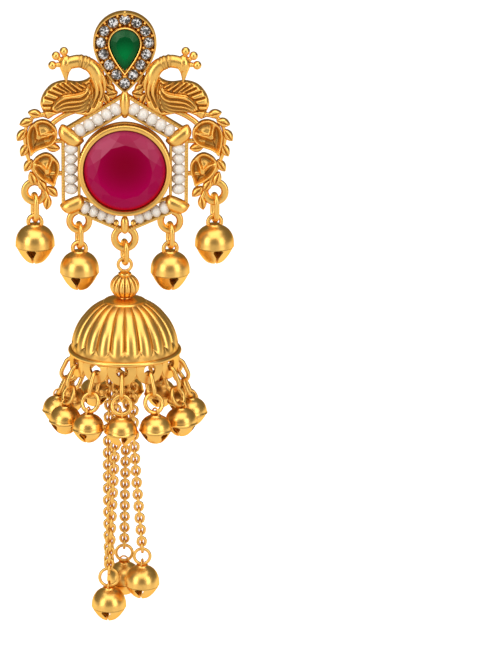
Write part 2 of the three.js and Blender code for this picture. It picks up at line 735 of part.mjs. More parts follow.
// A big cupped leaf: a sunk field in a raised edge, with a fold in the shape of a V.
function bigLeaf(place) {
  const outline = (share) => {
    const [half, long] = [(share * BIG_LEAF_WIDTH) / 2, (share * BIG_LEAF_LENGTH) / 2];
    const shape = new THREE.Shape();
    shape.moveTo(0, -long);
    shape.bezierCurveTo(0.5 * half, -0.5 * long, 1.2 * half, -0.3 * long, half, 0.4 * long);
    shape.quadraticCurveTo(0.8 * half, long, 0, 0.9 * long);
    shape.quadraticCurveTo(-0.8 * half, long, -half, 0.4 * long);
    shape.bezierCurveTo(-1.2 * half, -0.3 * long, -0.5 * half, -0.5 * long, 0, -long);
    return shape;
  };
  const edge = outline(1);
  edge.holes.push(outline(BIG_LEAF_EDGE));
  const fold = new THREE.Shape();
  const [half, long] = [BIG_LEAF_WIDTH / 2, BIG_LEAF_LENGTH / 2];
  fold.moveTo(0, -0.3 * long);
  fold.lineTo(0.75 * half, 0.35 * long);
  fold.lineTo(0.5 * half, 0.5 * long);
  fold.lineTo(0, -0.05 * long);
  fold.lineTo(-0.4 * half, 0.8 * long);
  fold.lineTo(-0.7 * half, 0.6 * long);
  const front = BIG_LEAF_BACK + BIG_LEAF_FLOOR;
  const list = [
    relief(outline(1), BIG_LEAF_BACK, front, 2),
    relief(edge, front - FUSE, front + BIG_LEAF_RIM / 2, 2),
    relief(fold, front - FUSE, front + BIG_LEAF_RIM / 2, 2),
  ];
  const [x, z] = onSpray(place);
  return list.map((one) => one.rotateY((-place.turn * Math.PI) / 180).translate(x, 0, z));
}

function leafSpray() {
  const stem = STEM_LINE.map((row) => {
    const [x, z] = onSpray(row);
    return [x, -SPRAY_HEIGHT_Y, z];
  });
  // The foot of the bird runs into the stem, and two short bars hold it to the frame.
  const [footX, footZ] = onBird(BIRD_OUTLINE[6]);
  const joint = ({ out, down }) => {
    const [x, z] = onSpray({ out, down });
    return wire([[x, -SPRAY_HEIGHT_Y, z], [-HEX_HALF + FUSE, -SPRAY_HEIGHT_Y, z]], STEM_RADIUS, 5, 1);
  };
  const foot = [footX, -SPRAY_HEIGHT_Y, footZ + STEM_RADIUS];
  return [
    wire(stem, STEM_RADIUS, 5, 10),
    wire([foot, [stem[0][0], foot[1], stem[0][2] - STEM_RADIUS]], STEM_RADIUS, 5, 1),
    joint({ out: 0.4, down: 0.3 }),
    joint({ out: 0.4, down: 0.66 }),
    ...SMALL_LEAVES.map((row) => almond(LEAF_LENGTH, LEAF_WIDTH, ...onSpray(row), row.turn)),
    ...BIG_LEAVES.flatMap(bigLeaf),
  ];
}

function studFrame() {
  const half = [...peacock(), ...leafSpray()];
  const down = [...hexagon(), ...claws()].map((one) => one.translate(0, 0, RUBY_Z));
  const setting = rubySetting().translate(0, 0, RUBY_Z);
  const made = fuse([...half, ...half.map(mirrored), ...down, setting]);
  return made.add(studRings()).add(crest());
}

// Seed pearls: one string each, along its own Z

function pearlString(count, pitch) {
  const profile = [[0, -count * pitch / 2]];
  for (let i = 0; i < count; i++) {
    const middle = (i - (count - 1) / 2) * pitch;
    profile.push([PEARL_RADIUS, middle - 0.22 * pitch]);
    profile.push([PEARL_RADIUS, middle + 0.22 * pitch]);
    if (i < count - 1) profile.push([0.55 * PEARL_RADIUS, middle + pitch / 2]);
  }
  profile.push([0, (count * pitch) / 2]);
  return turned(profile, PEARL_SIDES, "z");
}

// The six strings lie in the channel along the middle of each side of the frame.
function pearlStrings() {
  const corners = hexCorners(RAIL_WIDTH + CHANNEL / 2);
  return corners.map(([x0, z0], i) => {
    const [x1, z1] = corners[(i + 1) % corners.length];
    const low = z0 + z1 < -HEX_BOTTOM / 2 && x0 * x1 === 0;
    const upright = x0 === x1;
    const geometry = low ? pearlString(4, PEARL_LOW_PITCH) : pearlString(5, PEARL_PITCH);
    const made = named("pearl_string_" + (i + 1), geometry, pearl);
    const lean = Math.atan2(x1 - x0, z1 - z0);
    made.rotation.y = upright ? 0 : lean;
    made.position.set((x0 + x1) / 2, -PEARL_HEIGHT, RUBY_Z + (z0 + z1) / 2);
    return made;
  });
}

// Bells, about the centre of their widest line

function bellBody(size, sides, hung) {
  const { radius, top, low, seam, flange } = size;
  const outer = [
    [0, -low],
    [0.55 * radius, -0.88 * low],
    [0.95 * radius, -seam - BELL_WALL / 2],
    [radius + flange, -seam],
    [radius, 0.1 * top],
    [0.72 * radius, 0.72 * top],
    [0.3 * radius, top],
    [0, top],
  ];
  const [inRadius, inTop, inLow] = [radius - BELL_WALL, top - BELL_WALL, low - BELL_WALL];
  const hollow = [
    [0, -inLow],
    [inRadius, -0.3 * inLow],
    [0.9 * inRadius, 0.4 * inTop],
    [0, inTop],
  ];
  const mouth = -seam - BELL_WALL / 4;
  const waist = mouth - 0.45 * (low - seam);
  const slot = new THREE.Shape();
  slot.moveTo(-SLOT_SHARE * radius, mouth);
  slot.lineTo(SLOT_SHARE * radius, mouth);
  slot.lineTo(SLIT_WIDTH / 2, waist);
  slot.lineTo(SLIT_WIDTH / 2, -2 * low);
  slot.lineTo(-SLIT_WIDTH / 2, -2 * low);
  slot.lineTo(-SLIT_WIDTH / 2, waist);
  const body = fuse([turned(outer, sides, "z"), ...hung]);
  return cut(body, [turned(hollow, CAVITY_SIDES, "z"), relief(slot, -2 * radius, 2 * radius)]);
}

function studBell() {
  const bail = hoop(BAIL_RADIUS, BAIL_WIRE, SMALL_WIRE_SIDES).translate(0, 0, STUD_BELL.top + BAIL_RISE);
  return bellBody(STUD_BELL, BELL_SIDES, [bail]);
}

// A bell whose small eye holds a ring; the second value is the ring's wire over its centre.
function eyedBell(size, sides, ringWire) {
  const wireHeight = size.top + SMALL_EYE_DROP + ringWire / 2;
  const eye = new THREE.OctahedronGeometry(SMALL_EYE, 0).scale(1, 1, EYE_STRETCH);
  return [bellBody(size, sides, [eye.translate(0, 0, wireHeight)]), wireHeight];
}

// The stud's links and bells
function studHangings() {
  const list = [];
  STUD_RINGS.forEach(({ side, x, z, hole, link }, i) => {
    const linkTop = z - hole + HANG_GAP + LINK_WIRE;
    const seat = linkTop - link + LINK_WIRE + HANG_GAP; // underside of the bail's arch
    const drop = named("stud_link_" + (i + 1), ovalLink(link, LINK_WIDTH, LINK_WIRE), gold);
    drop.rotation.z = Math.PI / 2;
    drop.position.set(side * x, -RING_HEIGHT, linkTop - link / 2);
    const bell = named("stud_bell_" + (i + 1), geometryOf(studBell()), gold);
    const bailTop = seat + BAIL_WIRE;
    const centre = bailTop - BAIL_RADIUS - BAIL_RISE - STUD_BELL.top;
    bell.position.set(side * x, -RING_HEIGHT, centre);
    list.push(drop, bell);
  });
  return list;
}

// The swing link and the dome under it
const SWING_TOP = CENTRE_RING.z - CENTRE_RING.hole + HANG_GAP + LINK_WIRE;
const EYE_TOP = SWING_TOP - SWING_LINK_LENGTH + LINK_WIRE + HANG_GAP + EYE_WIRE;
const EYE_Z = EYE_TOP - EYE_RADIUS;
const BALL_Z = EYE_Z - EYE_RADIUS - COLLAR_HEIGHT + FUSE - BALL_HEIGHT / 2;
const CAP_Z = BALL_Z - BALL_HEIGHT / 2 - COLLAR_HEIGHT + FUSE;
const RIM_Z = CAP_Z - CAP_THICK - DOME_HEIGHT;
const CROWN = DOME_HEIGHT - DOME_WALL; // underside of the dome's crown above the rim
const HOOK_Z = RIM_Z + CROWN - HOOK_DROP;

// Every second column of a turned body is drawn in, from one height to another.
function ribbed(geometry, columns, depth, from, to) {
  const place = geometry.attributes.position;
  for (let i = 0; i < place.count; i++) {
    const [x, y, z] = [place.getX(i), place.getY(i), place.getZ(i)];
    const column = Math.round((Math.atan2(x, -y) / (2 * Math.PI)) * columns);
    if (Math.abs(column) % 2 === 0 && z > from && z < to) {
      place.setXYZ(i, x * (1 - depth), y * (1 - depth), z);
    }
  }
  return geometry;
}

function dome() {
  const full = Math.acos(CAP_RADIUS / DOME_RADIUS); // where the curve meets the cap
  const rise = DOME_HEIGHT / Math.sin(full);
  const profile = [
    [0, -RIM_WIRE / 2],
    [RIM_RADIUS - RIM_WIRE / 2, -RIM_WIRE / 2],
    [RIM_RADIUS, 0],
    [RIM_RADIUS - RIM_WIRE / 2, RIM_WIRE / 2],
  ];
  for (let i = 0; i <= DOME_ROWS; i++) {
    const t = FLANGE_TURN + ((full - FLANGE_TURN) * i) / DOME_ROWS;
    profile.push([DOME_RADIUS * Math.cos(t), rise * Math.sin(t)]);
  }
  profile.push([CAP_RADIUS, DOME_HEIGHT + CAP_THICK], [0, DOME_HEIGHT + CAP_THICK]);
  const shell = turned(profile, 2 * FLUTE_COUNT, "z");
  ribbed(shell, 2 * FLUTE_COUNT, FLUTE_DEPTH, RIM_WIRE, DOME_HEIGHT - CAP_THICK / 2);
  const inside = DOME_RADIUS - DOME_WALL;
  const hollow = [[0, -RIM_WIRE], [inside, -RIM_WIRE]];
  for (const t of [0, 0.4, 0.8]) {
    hollow.push([inside * Math.cos(t), (rise - DOME_WALL) * Math.sin(t)]);
  }
  hollow.push([CAP_RADIUS - DOME_WALL, CROWN], [0, CROWN]);
  return cut(solid(shell), [turned(hollow, DOME_INNER_SIDES, "z")]);
}

function crownPieces() {
  const ball = turned(
    [0, 0.22, 0.4, 0.6, 0.78, 1].map((t) => [
      BALL_RADIUS * Math.sin(t * Math.PI) * (t % 1 ? 1 : 0),
      (-BALL_HEIGHT / 2) * Math.cos(t * Math.PI),
    ]),
    2 * BALL_RIBS,
    "z",
  );
  ribbed(ball, 2 * BALL_RIBS, BALL_RIB_DEPTH, -BALL_HEIGHT / 2 + FUSE, BALL_HEIGHT / 2 - FUSE);
  const collar = (z) => {
    const half = COLLAR_HEIGHT / 2 + 2 * FUSE;
    const [low, high] = [z - half, z + half];
    return turned([[0, low], [COLLAR_RADIUS, low], [COLLAR_RADIUS, high], [0, high]], 10, "z");
  };
  const collars = [
    collar(BALL_Z + BALL_HEIGHT / 2 + COLLAR_HEIGHT / 2),
    collar(BALL_Z - BALL_HEIGHT / 2 - COLLAR_HEIGHT / 2),
  ];
  return [hoop(EYE_RADIUS, EYE_WIRE).translate(0, 0, EYE_Z), ball.translate(0, 0, BALL_Z), ...collars];
}

// The ring that carries the chains, on two legs under the crown.
function hook() {
  const middle = HOOK_RADIUS - HOOK_WIRE / 2;
  const ring = new THREE.TorusGeometry(middle, HOOK_WIRE / 2, SMALL_WIRE_SIDES, RING_SIDES);
  const leg = (x) => {
    const made = new THREE.CylinderGeometry(HOOK_WIRE / 2, HOOK_WIRE / 2, HOOK_DROP + 2 * FUSE, 6);
    return made.rotateX(Math.PI / 2).translate(x, 0, HOOK_Z + HOOK_DROP / 2);
  };
  return [ring.translate(0, 0, HOOK_Z), leg(middle), leg(-middle)];
}

const SCALLOP_LINE = RIM_RADIUS - RIM_WIRE / 2 - SCALLOP_THICK / 2;

// A round tab cut flat at the top, where it is soldered to the rim.
function scallop() {
  const level = SCALLOP_DROP - FUSE;
  const angle = Math.asin(level / SCALLOP_RADIUS);
  const shape = new THREE.Shape();
  shape.absarc(0, 0, SCALLOP_RADIUS, Math.PI - angle, 2 * Math.PI + angle, false);
  const hole = new THREE.Path();
  hole.absarc(0, 0, SCALLOP_HOLE, 0, 2 * Math.PI, true);
  shape.holes.push(hole);
  return relief(shape, -SCALLOP_THICK / 2, SCALLOP_THICK / 2, 6);
}

function fringeAngle(i) {
  return FRINGE_TURN + (2 * Math.PI * i) / FRINGE_COUNT;
}

function jhumkaDome() {
  const tabs = [];
  for (let i = 0; i < FRINGE_COUNT; i++) {
    const tab = scallop().translate(0, -SCALLOP_LINE, RIM_Z - SCALLOP_DROP);
    tabs.push(tab.rotateZ(fringeAngle(i)));
  }
  const shell = dome().translate([0, 0, RIM_Z]);
  return fuse([...crownPieces(), ...hook(), ...tabs]).add(shell);
}

// One drop of the fringe, hung in the front scallop: its link and ring lean out together
// from the middle of the scallop's lower band, and the bell hangs upright under the ring.
function fringeDrop() {
  const band = (SCALLOP_RADIUS - SCALLOP_HOLE) / 2;
  const pivot = -SCALLOP_HOLE - band;
  const linkTop = -SCALLOP_HOLE + HANG_GAP + FRINGE_WIRE;
  const ringTop = linkTop - FRINGE_LINK_LENGTH + FRINGE_WIRE - 2 * FUSE + FRINGE_RING_WIRE;
  const ringZ = ringTop - FRINGE_RING_RADIUS;
  const lowWire = ringTop - 2 * FRINGE_RING_RADIUS + FRINGE_RING_WIRE / 2;
  const widest = 2 * (FRINGE_BELL.radius + FRINGE_BELL.flange) + FRINGE_GAP;
  const bellLine = widest / (2 * Math.sin(Math.PI / FRINGE_COUNT));
  const lean = Math.asin((bellLine - SCALLOP_LINE) / (pivot - lowWire));
  const link = ovalLink(FRINGE_LINK_LENGTH, FRINGE_LINK_WIDTH, FRINGE_WIRE, SMALL_WIRE_SIDES);
  link.rotateZ(Math.PI / 2).translate(0, 0, linkTop - FRINGE_LINK_LENGTH / 2);
  const ring = hoop(FRINGE_RING_RADIUS, FRINGE_RING_WIRE, SMALL_WIRE_SIDES).translate(0, 0, ringZ);
  const leaning = [link, ring].map((one) => one.translate(0, 0, -pivot).rotateX(-lean));
  const [bell, wireHeight] = eyedBell(FRINGE_BELL, SMALL_BELL_SIDES, FRINGE_RING_WIRE);
  const centre = (lowWire - pivot) * Math.cos(lean) - wireHeight;
  const hung = bell.translate([0, -(bellLine - SCALLOP_LINE), centre]);
  const place = [0, -SCALLOP_LINE, RIM_Z - SCALLOP_DROP + pivot];
  return fuse(leaning).add(hung).translate(place);
}

function fringe() {
  const geometry = geometryOf(fringeDrop());
  const list = [];
  for (let i = 0; i < FRINGE_COUNT; i++) {
    const made = named("fringe_drop_" + String(i + 1).padStart(2, "0"), geometry, gold);
    made.rotation.z = fringeAngle(i);
    list.push(made);
  }
  return list;
}

// Tassel

function tasselBell({ name, x, y, ringZ, ring, turn }) {
  const [bell, wireHeight] = eyedBell(TASSEL_BELL, BELL_SIDES, TASSEL_WIRE);
  const centre = ringZ - ring + TASSEL_WIRE / 2 - wireHeight;
  const hung = bell.rotate([0, 0, (turn * 180) / Math.PI]).translate([0, 0, centre - ringZ]);
  const made = named(name, geometryOf(fuse([hoop(ring, TASSEL_WIRE)]).add(hung)), gold);
  made.position.set(x, y, ringZ);
  return made;
}

function chain({ name, turn, bell, aside, way }) {
  const angle = 2 * Math.PI * turn;
  const out = HOOK_RADIUS - HOOK_WIRE / 2;
  const { x, y, ringZ, ring } = TASSEL_BELLS[bell];
  const route = [
    [out * Math.cos(angle), out * Math.sin(angle), HOOK_Z - HOOK_WIRE / 2 - CHAIN_TOP_GAP],
    way,
    [x, y + aside, ringZ + ring + END_GAP],
  ];
  return named(name, wire(route, CHAIN_RADIUS, CHAIN_SIDES, CHAIN_STEPS), gold);
}

// Ear post: a pad soldered to the back of the crest, a pin with a groove and a rounded end
function earPost() {
  const groove = POST_LENGTH - POST_TIP - POST_GROOVE_WIDTH;
  const narrow = POST_RADIUS - POST_GROOVE_DEPTH;
  const profile = [
    [0, POST_PAD_GAP],
    [POST_PAD_RADIUS, POST_PAD_GAP],
    [POST_PAD_RADIUS, POST_PAD_THICK],
    [POST_RADIUS, POST_PAD_THICK],
    [POST_RADIUS, groove],
    [narrow, groove + POST_GROOVE_WIDTH / 3],
    [narrow, groove + (2 * POST_GROOVE_WIDTH) / 3],
    [POST_RADIUS, groove + POST_GROOVE_WIDTH],
    [POST_RADIUS, POST_LENGTH - POST_RADIUS],
    [0, POST_LENGTH],
  ];
  return turned(profile, SMALL_BELL_SIDES);
}

const earring = new THREE.Group();
earring.add(named("stud_frame", geometryOf(studFrame()), gold));
earring.add(named("ear_post", earPost(), gold));

const ruby = named("ruby_stone", rubyStone(), red);
ruby.position.z = RUBY_Z;
const emerald = named("emerald_stone", emeraldStone(), green);
emerald.position.z = PEAR_CENTRE_Z;
earring.add(ruby, emerald);
whitePlaces().forEach(([x, z], i) => {
  const stone = named("white_stone_" + String(i + 1).padStart(2, "0"), whiteStone(), white);
  stone.position.set(x, 0, z);
  earring.add(stone);
});
earring.add(...pearlStrings(), ...studHangings());

const swing = named("swing_link", ovalLink(SWING_LINK_LENGTH, LINK_WIDTH, LINK_WIRE), gold);
swing.rotation.z = Math.PI / 2;
swing.position.set(0, 0, SWING_TOP - SWING_LINK_LENGTH / 2);
// All that hangs in the middle hangs in the plane of the rings.
const hanging = new THREE.Group();
hanging.position.y = -RING_HEIGHT;
hanging.add(swing, named("jhumka_dome", geometryOf(jhumkaDome()), gold), ...fringe());
hanging.add(...CHAIN_ROUTES.map(chain), ...TASSEL_BELLS.map(tasselBell));
earring.add(hanging);

export default earring;
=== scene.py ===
"""Jhumka earring: a peacock stud, a fluted dome under it, a fringe of bells and a chain tassel.

Shapes are worked out in millimetres, +Z up, the front facing -Y, round the place where the
ear post leaves the flat back of the stud. Each solid of the frame is hidden behind a finer
piece of the same form and size, and every piece rides on the body that its solid rides on.
"""

import math

import bmesh
import bpy
import numpy as np
from bpy.props import FloatProperty, FloatVectorProperty, IntProperty, PointerProperty
from bpy.types import Operator, Panel, PropertyGroup
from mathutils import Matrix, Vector


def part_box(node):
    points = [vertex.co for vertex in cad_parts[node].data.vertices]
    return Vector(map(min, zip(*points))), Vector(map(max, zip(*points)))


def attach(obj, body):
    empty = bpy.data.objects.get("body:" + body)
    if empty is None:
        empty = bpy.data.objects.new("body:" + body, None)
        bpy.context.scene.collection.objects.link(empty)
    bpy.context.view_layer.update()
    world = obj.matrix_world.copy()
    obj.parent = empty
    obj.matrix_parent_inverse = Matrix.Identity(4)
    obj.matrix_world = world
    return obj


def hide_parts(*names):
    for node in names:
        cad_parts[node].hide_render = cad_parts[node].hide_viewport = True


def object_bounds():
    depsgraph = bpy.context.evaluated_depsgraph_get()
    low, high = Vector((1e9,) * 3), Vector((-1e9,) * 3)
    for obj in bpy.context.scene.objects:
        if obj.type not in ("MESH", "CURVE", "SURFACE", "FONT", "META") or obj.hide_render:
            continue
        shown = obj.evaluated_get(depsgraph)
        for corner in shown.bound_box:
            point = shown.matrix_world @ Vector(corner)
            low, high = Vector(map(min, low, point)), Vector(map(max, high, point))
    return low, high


bl_info = {
    "name": "Jhumka Earring",
    "version": (1, 0, 0),
    "blender": (4, 5, 0),
    "location": "View3D > Sidebar > Jhumka",
    "description": "Dresses the frame of a jhumka earring in gold, stones and pearls",
    "category": "Add Mesh",
}

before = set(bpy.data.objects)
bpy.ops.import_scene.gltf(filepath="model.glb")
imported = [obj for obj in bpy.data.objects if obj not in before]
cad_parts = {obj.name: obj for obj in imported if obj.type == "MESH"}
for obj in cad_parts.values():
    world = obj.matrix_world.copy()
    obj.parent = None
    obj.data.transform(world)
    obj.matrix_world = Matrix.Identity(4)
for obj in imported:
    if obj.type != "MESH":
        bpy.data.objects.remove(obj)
CAD_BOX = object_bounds()
MM = 0.001
TURN = 2 * math.pi


def box_of(node):
    """Lowest and highest corner of a solid of the frame, in millimetres."""
    low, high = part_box(node)
    return np.array(low) / MM, np.array(high) / MM


def middle_of(node):
    """Middle of a solid's box: half the sum of its lowest and highest corner."""
    low, high = box_of(node)
    return (low + high) / 2


# Sizes and colours


def size(name, description, value):
    """A length, given here in millimetres and kept in metres."""
    return FloatProperty(name=name, description=description, default=value * MM, unit="LENGTH")


def colour(name, description, value):
    """A colour, in linear red, green and blue."""
    return FloatVectorProperty(
        name=name, description=description, default=value, subtype="COLOR", min=0, max=1
    )


class StudSizes(PropertyGroup):
    """Sizes of the stud and its stones"""

    crest_radius: size("Crest radius", "Round top of the pear-shaped crest", 5.25)
    crest_tip: size("Crest tip", "From the middle of the round top to the tip", 8.5)
    crest_height: size("Crest height", "Height of the crest's outer rim", 2.0)
    rail_hatch: size("Rail hatch", "Distance between two cuts on the outer rail", 0.5)
    bezel_lip: size("Bezel lip", "How far the rolled lip stands out", 0.32)
    pearl_radius: size("Pearl radius", "Radius of a seed pearl", 1.0)
    neck_radius: size("Neck radius", "Radius of a peacock's neck", 1.12)
    groove_depth: size("Groove depth", "Depth of the cuts between the feathers", 0.55)
    stem_radius: size("Stem radius", "Radius of the leaf spray's stem", 0.36)


class HangingSizes(PropertyGroup):
    """Sizes of the dome, the chains and the bells"""

    flutes: IntProperty(name="Flutes", description="Flutes round the dome", default=21, min=6)
    flute_depth: size("Flute depth", "Depth of the cuts between the flutes", 0.75)
    ball_ribs: IntProperty(name="Ball ribs", description="Ribs of the ball", default=14, min=6)
    chain_link: size("Chain link", "Outer length of one link of the chains", 2.2)
    chain_wire: size("Chain wire", "Thickness of the chains' wire", 0.56)
    bell_wall: size("Bell wall", "Thickness of a bell's wall", 0.5)


class Finishes(PropertyGroup):
    """Colours of the metal, the stones, the pearls and the floor"""

    gold: colour("Gold", "Polished high places of the gold", (0.87, 0.51, 0.13))
    # Deep gold: the painted shade of recesses and hollows, and their patina.
    gold_deep: colour("Deep gold", "Gold in the recesses", (0.16, 0.055, 0.008))
    gold_roughness: FloatProperty(
        name="Gold roughness", description="Roughness of the gold", default=0.32, min=0, max=1
    )
    ruby: colour("Red stone", "Middle of the round stone", (0.19, 0.0, 0.014))
    ruby_edge: colour("Red stone, edge", "Its colour farther out", (0.31, 0.0, 0.05))
    # Painted highlights on the red stone's facets.
    ruby_light: colour("Red stone, light", "Its palest facets", (0.42, 0.085, 0.14))
    emerald: colour("Green stone", "Body of the pear-shaped stone", (0.001, 0.062, 0.014))
    # Painted light: the green stone's lighter middle.
    emerald_light: colour("Green stone, light", "Its lighter middle", (0.001, 0.15, 0.033))
    pearl: colour("Pearl", "The seed pearls", (0.75, 0.7, 0.63))
    floor: colour("Floor", "The pale floor", (0.66, 0.655, 0.645))


def stud():
    """The sizes of the stud that the panel shows."""
    return bpy.context.scene.jhumka_stud


def hanging():
    """The sizes of the hanging parts that the panel shows."""
    return bpy.context.scene.jhumka_hanging


def finishes():
    """The colours that the panel shows."""
    return bpy.context.scene.jhumka_finishes


# Places taken from the frame and from the part's own named sizes, in millimetres

BACK_Z = 3.15  # middle of the crest's round top
RUBY = middle_of("ruby_stone")
HANG_Y = middle_of("jhumka_dome")[1]
# The hexagon, from the middle of the red stone; its outer rail; the pearls' channel inside
HEX_HALF, HEX_TOP, HEX_BOTTOM, HEX_SHOULDER = 10.6, 13.0, 11.2, 6.55
RAIL_WIDTH, RAIL_BACK, RAIL_FRONT = 0.5, 0.3, 1.9
CHANNEL = 2.24
# Where a bird begins and its size; the same for a spray, and how high its leaves lie
BIRD_X, BIRD_TOP, BIRD_LENGTH, BIRD_HEIGHT = 3.15, 1.3, 10.9, 11.0
SPRAY_TOP, SPRAY_HEIGHT, SPRAY_REACH, SPRAY_LEVEL = -8.9, 15.5, 7.0, 1.1
RING_LEVEL, RING_THICK = 0.95, 0.7
LINK_WIRE, LINK_WIDTH, LINK_TURN = 0.88, 3.6, 0.25  # the turn is away from edge on


# Lines


def even(line, count, closed=False):
    """The line with count points spread evenly along its length."""
    line = np.asarray(line, float)
    if closed:
        line = np.vstack([line, line[:1]])
    steps = np.linalg.norm(np.diff(line, axis=0), axis=1)
    length = np.concatenate([[0], np.cumsum(steps)])
    places = np.linspace(0, length[-1], count, endpoint=not closed)
    return np.stack([np.interp(places, length, column) for column in line.T], 1)


def spline(points, count, closed=False):
    """A smooth line through the points: between two of them the cubic whose slopes at its
    ends are half the step from the point before to the point after."""
    p = np.asarray(points, float)
    if closed:
        a, b, c, d = np.roll(p, 1, 0), p, np.roll(p, -1, 0), np.roll(p, -2, 0)
    else:
        long = np.vstack([2 * p[0] - p[1], p, 2 * p[-1] - p[-2]])
        a, b, c, d = long[:-3], long[1:-2], long[2:-1], long[3:]
    a, b, c, d = (q[:, None, :] for q in (a, b, c, d))
    fine = 24  # steps between two points
    t = np.linspace(0, 1, fine, endpoint=False)[None, :, None]
    curve = 2 * b + (c - a) * t + (2 * a - 5 * b + 4 * c - d) * t**2
    curve = (curve + (3 * b - a - 3 * c + d) * t**3) / 2
    curve = curve.reshape(-1, p.shape[1])
    if not closed:
        curve = np.vstack([curve, p[-1:]])
    return even(curve, count, closed)


def bend(start, middle, end, count=16):
    """A parabola from start to end that leans towards middle: (1-t)^2 a + 2t(1-t) b + t^2 c."""
    t = np.linspace(0, 1, count)[:, None]
    a, b, c = (np.asarray(q, float) for q in (start, middle, end))
    return (1 - t) ** 2 * a + 2 * t * (1 - t) * b + t**2 * c


def circle(radius, count, start=0.0, end=TURN, closed=True):
    """Points (radius cos a, radius sin a)."""
    a = np.linspace(start, end, count, endpoint=not closed)
    return np.stack([radius * np.cos(a), radius * np.sin(a)], 1)


def pear_line(radius, tip, count):
    """A pear in (x, z): a round top, ended 0.26 radians below its middle, and two parabolas
    from there to the tip under it."""
    drop, reach = 0.26, 0.667 * radius
    side = np.array([radius * math.cos(drop), -radius * math.sin(drop)])
    turn = side - reach * np.array([math.sin(drop), math.cos(drop)])
    right = bend((0, -tip), turn, side, 60)
    top = circle(radius, 160, -drop, math.pi + drop, closed=False)
    left = right[::-1] * [-1, 1]
    return even(np.vstack([right[:-1], top, left[1:-1]]), count, closed=True)


def hex_line(inset, each):
    """The frame's hexagon in (x, z), drawn in by inset, with each points on each side."""
    half, slope = HEX_HALF - inset, 1.15 * inset
    corners = np.array(
        [
            (0, HEX_TOP - slope),
            (-half, HEX_SHOULDER - inset / 2),
            (-half, -HEX_SHOULDER + inset / 2),
            (0, -HEX_BOTTOM + slope),
            (half, -HEX_SHOULDER + inset / 2),
            (half, HEX_SHOULDER - inset / 2),
        ]
    )
    share = np.linspace(0, 1, each, endpoint=False)[None, :, None]
    sides = corners[:, None, :] * (1 - share) + np.roll(corners, -1, 0)[:, None, :] * share
    return sides.reshape(-1, 2) + [0, RUBY[2]]


def apart(points, line, closed=False):
    """Distance of each point to the nearest place on a line of straight steps."""
    a = np.asarray(line, float)
    b = np.roll(a, -1, 0) if closed else a[1:]
    a = a if closed else a[:-1]
    step = b - a
    reach = points[:, None, :] - a[None]
    share = (reach * step).sum(2) / np.maximum((step**2).sum(1), 1e-12)
    gap = reach - np.clip(share, 0, 1)[..., None] * step
    return np.sqrt((gap**2).sum(2)).min(1)


def ridge(points, line, width):
    """1 on the line, falling to 0 beside it like a bell curve of that width."""
    return np.exp(-((apart(points, line) / width) ** 2))


def smooth_step(t):
    """From 0 to 1 as t does, level at both ends: t^2 (3 - 2 t)."""
    t = np.clip(t, 0, 1)
    return t * t * (3 - 2 * t)


# Surfaces: each is a grid of points, rows by columns, in millimetres


def facing(flat, height):
    """Points (x, z) at a height over the back plane: (x, -height, z)."""
    flat = np.asarray(flat, float)
    y = np.broadcast_to(-np.asarray(height, float), flat.shape[:-1])
    return np.stack([flat[..., 0], y, flat[..., 1]], -1)


def turned(profile, sides, axis="z", factor=None):
    """A profile of (radius, height) turned round an axis: (r cos a, r sin a, h). A factor of
    rows by columns multiplies the radius, for ribs."""
    profile = np.asarray(profile, float)
    a = np.linspace(0, TURN, sides, endpoint=False) - math.pi / 2
    radius = profile[:, :1] * (1 if factor is None else factor)
    radius = np.broadcast_to(radius, (len(profile), sides))
    height = np.broadcast_to(profile[:, 1:2], radius.shape)
    x, y = radius * np.cos(a), radius * np.sin(a)
    if axis == "y":
        return np.stack([x, -height, y], -1)
    return np.stack([x, y, height], -1)


def wire(path, radius, sides=10, closed=False, across=(0, 1, 0)):
    """A wire: round each point p of the path the circle p + r (cos a S + sin a U). S stands
    across the path and across the given direction, and U is their other normal."""
    path = np.asarray(path, float)
    if closed:
        along = np.roll(path, -1, 0) - np.roll(path, 1, 0)
    else:
        along = np.gradient(path, axis=0)
    along /= np.linalg.norm(along, axis=1, keepdims=True)
    side = np.cross(along, across)
    side /= np.linalg.norm(side, axis=1, keepdims=True)
    up = np.cross(side, along)
    a = np.linspace(0, TURN, sides, endpoint=False)[None, :, None]
    radius = np.broadcast_to(radius, len(path))[:, None, None]
    around = np.cos(a) * side[:, None] + np.sin(a) * up[:, None]
    return path[:, None] + radius * around


def bead(place, radius, stretch=(1, 1, 1), sides=14, rows=9):
    """A ball: (cos e cos a, cos e sin a, sin e), stretched along each axis."""
    e = np.linspace(-math.pi / 2, math.pi / 2, rows)
    ball = turned(np.stack([np.cos(e), np.sin(e)], 1), sides)
    return ball * radius * np.asarray(stretch) + np.asarray(place, float)


def relief(outline, centre, form, back, edge, rows, wall, wall_dark=0.0):
    """A low relief on a closed outline that can be seen whole from its centre, and how dark it
    is
    painted: a flat back, a wall and a front. For points (x, z) and their distances d to the
    outline, form gives the front's heights and painted shade. Over a width e the front is
    rounded off by e (1 - sqrt(1 - (1 - d / e)^2)). Its rows are closer together near the
    outline."""
    outline = np.asarray(outline, float)
    centre = np.asarray(centre, float)
    crowding = 1.15
    share = np.linspace(0, 1, rows) ** crowding
    flat = outline[None] * (1 - share[:, None, None]) + centre * share[:, None, None]
    inner = flat.reshape(-1, 2)
    gap = apart(inner, outline, closed=True)
    round_off = edge * (1 - np.sqrt(1 - (1 - np.clip(gap / edge, 0, 1)) ** 2))
    height, dark = form(inner, gap)
    front = (height - round_off).reshape(rows, -1)
    rise = np.linspace(0, 1, wall + 1)[:-1, None] * (front[0] - back) + back
    sides = facing(np.broadcast_to(outline, (wall, *outline.shape)), rise)
    mark = np.concatenate([np.full(rise.shape, wall_dark), dark.reshape(rows, -1)])
    return np.concatenate([sides, facing(flat, front)]), mark


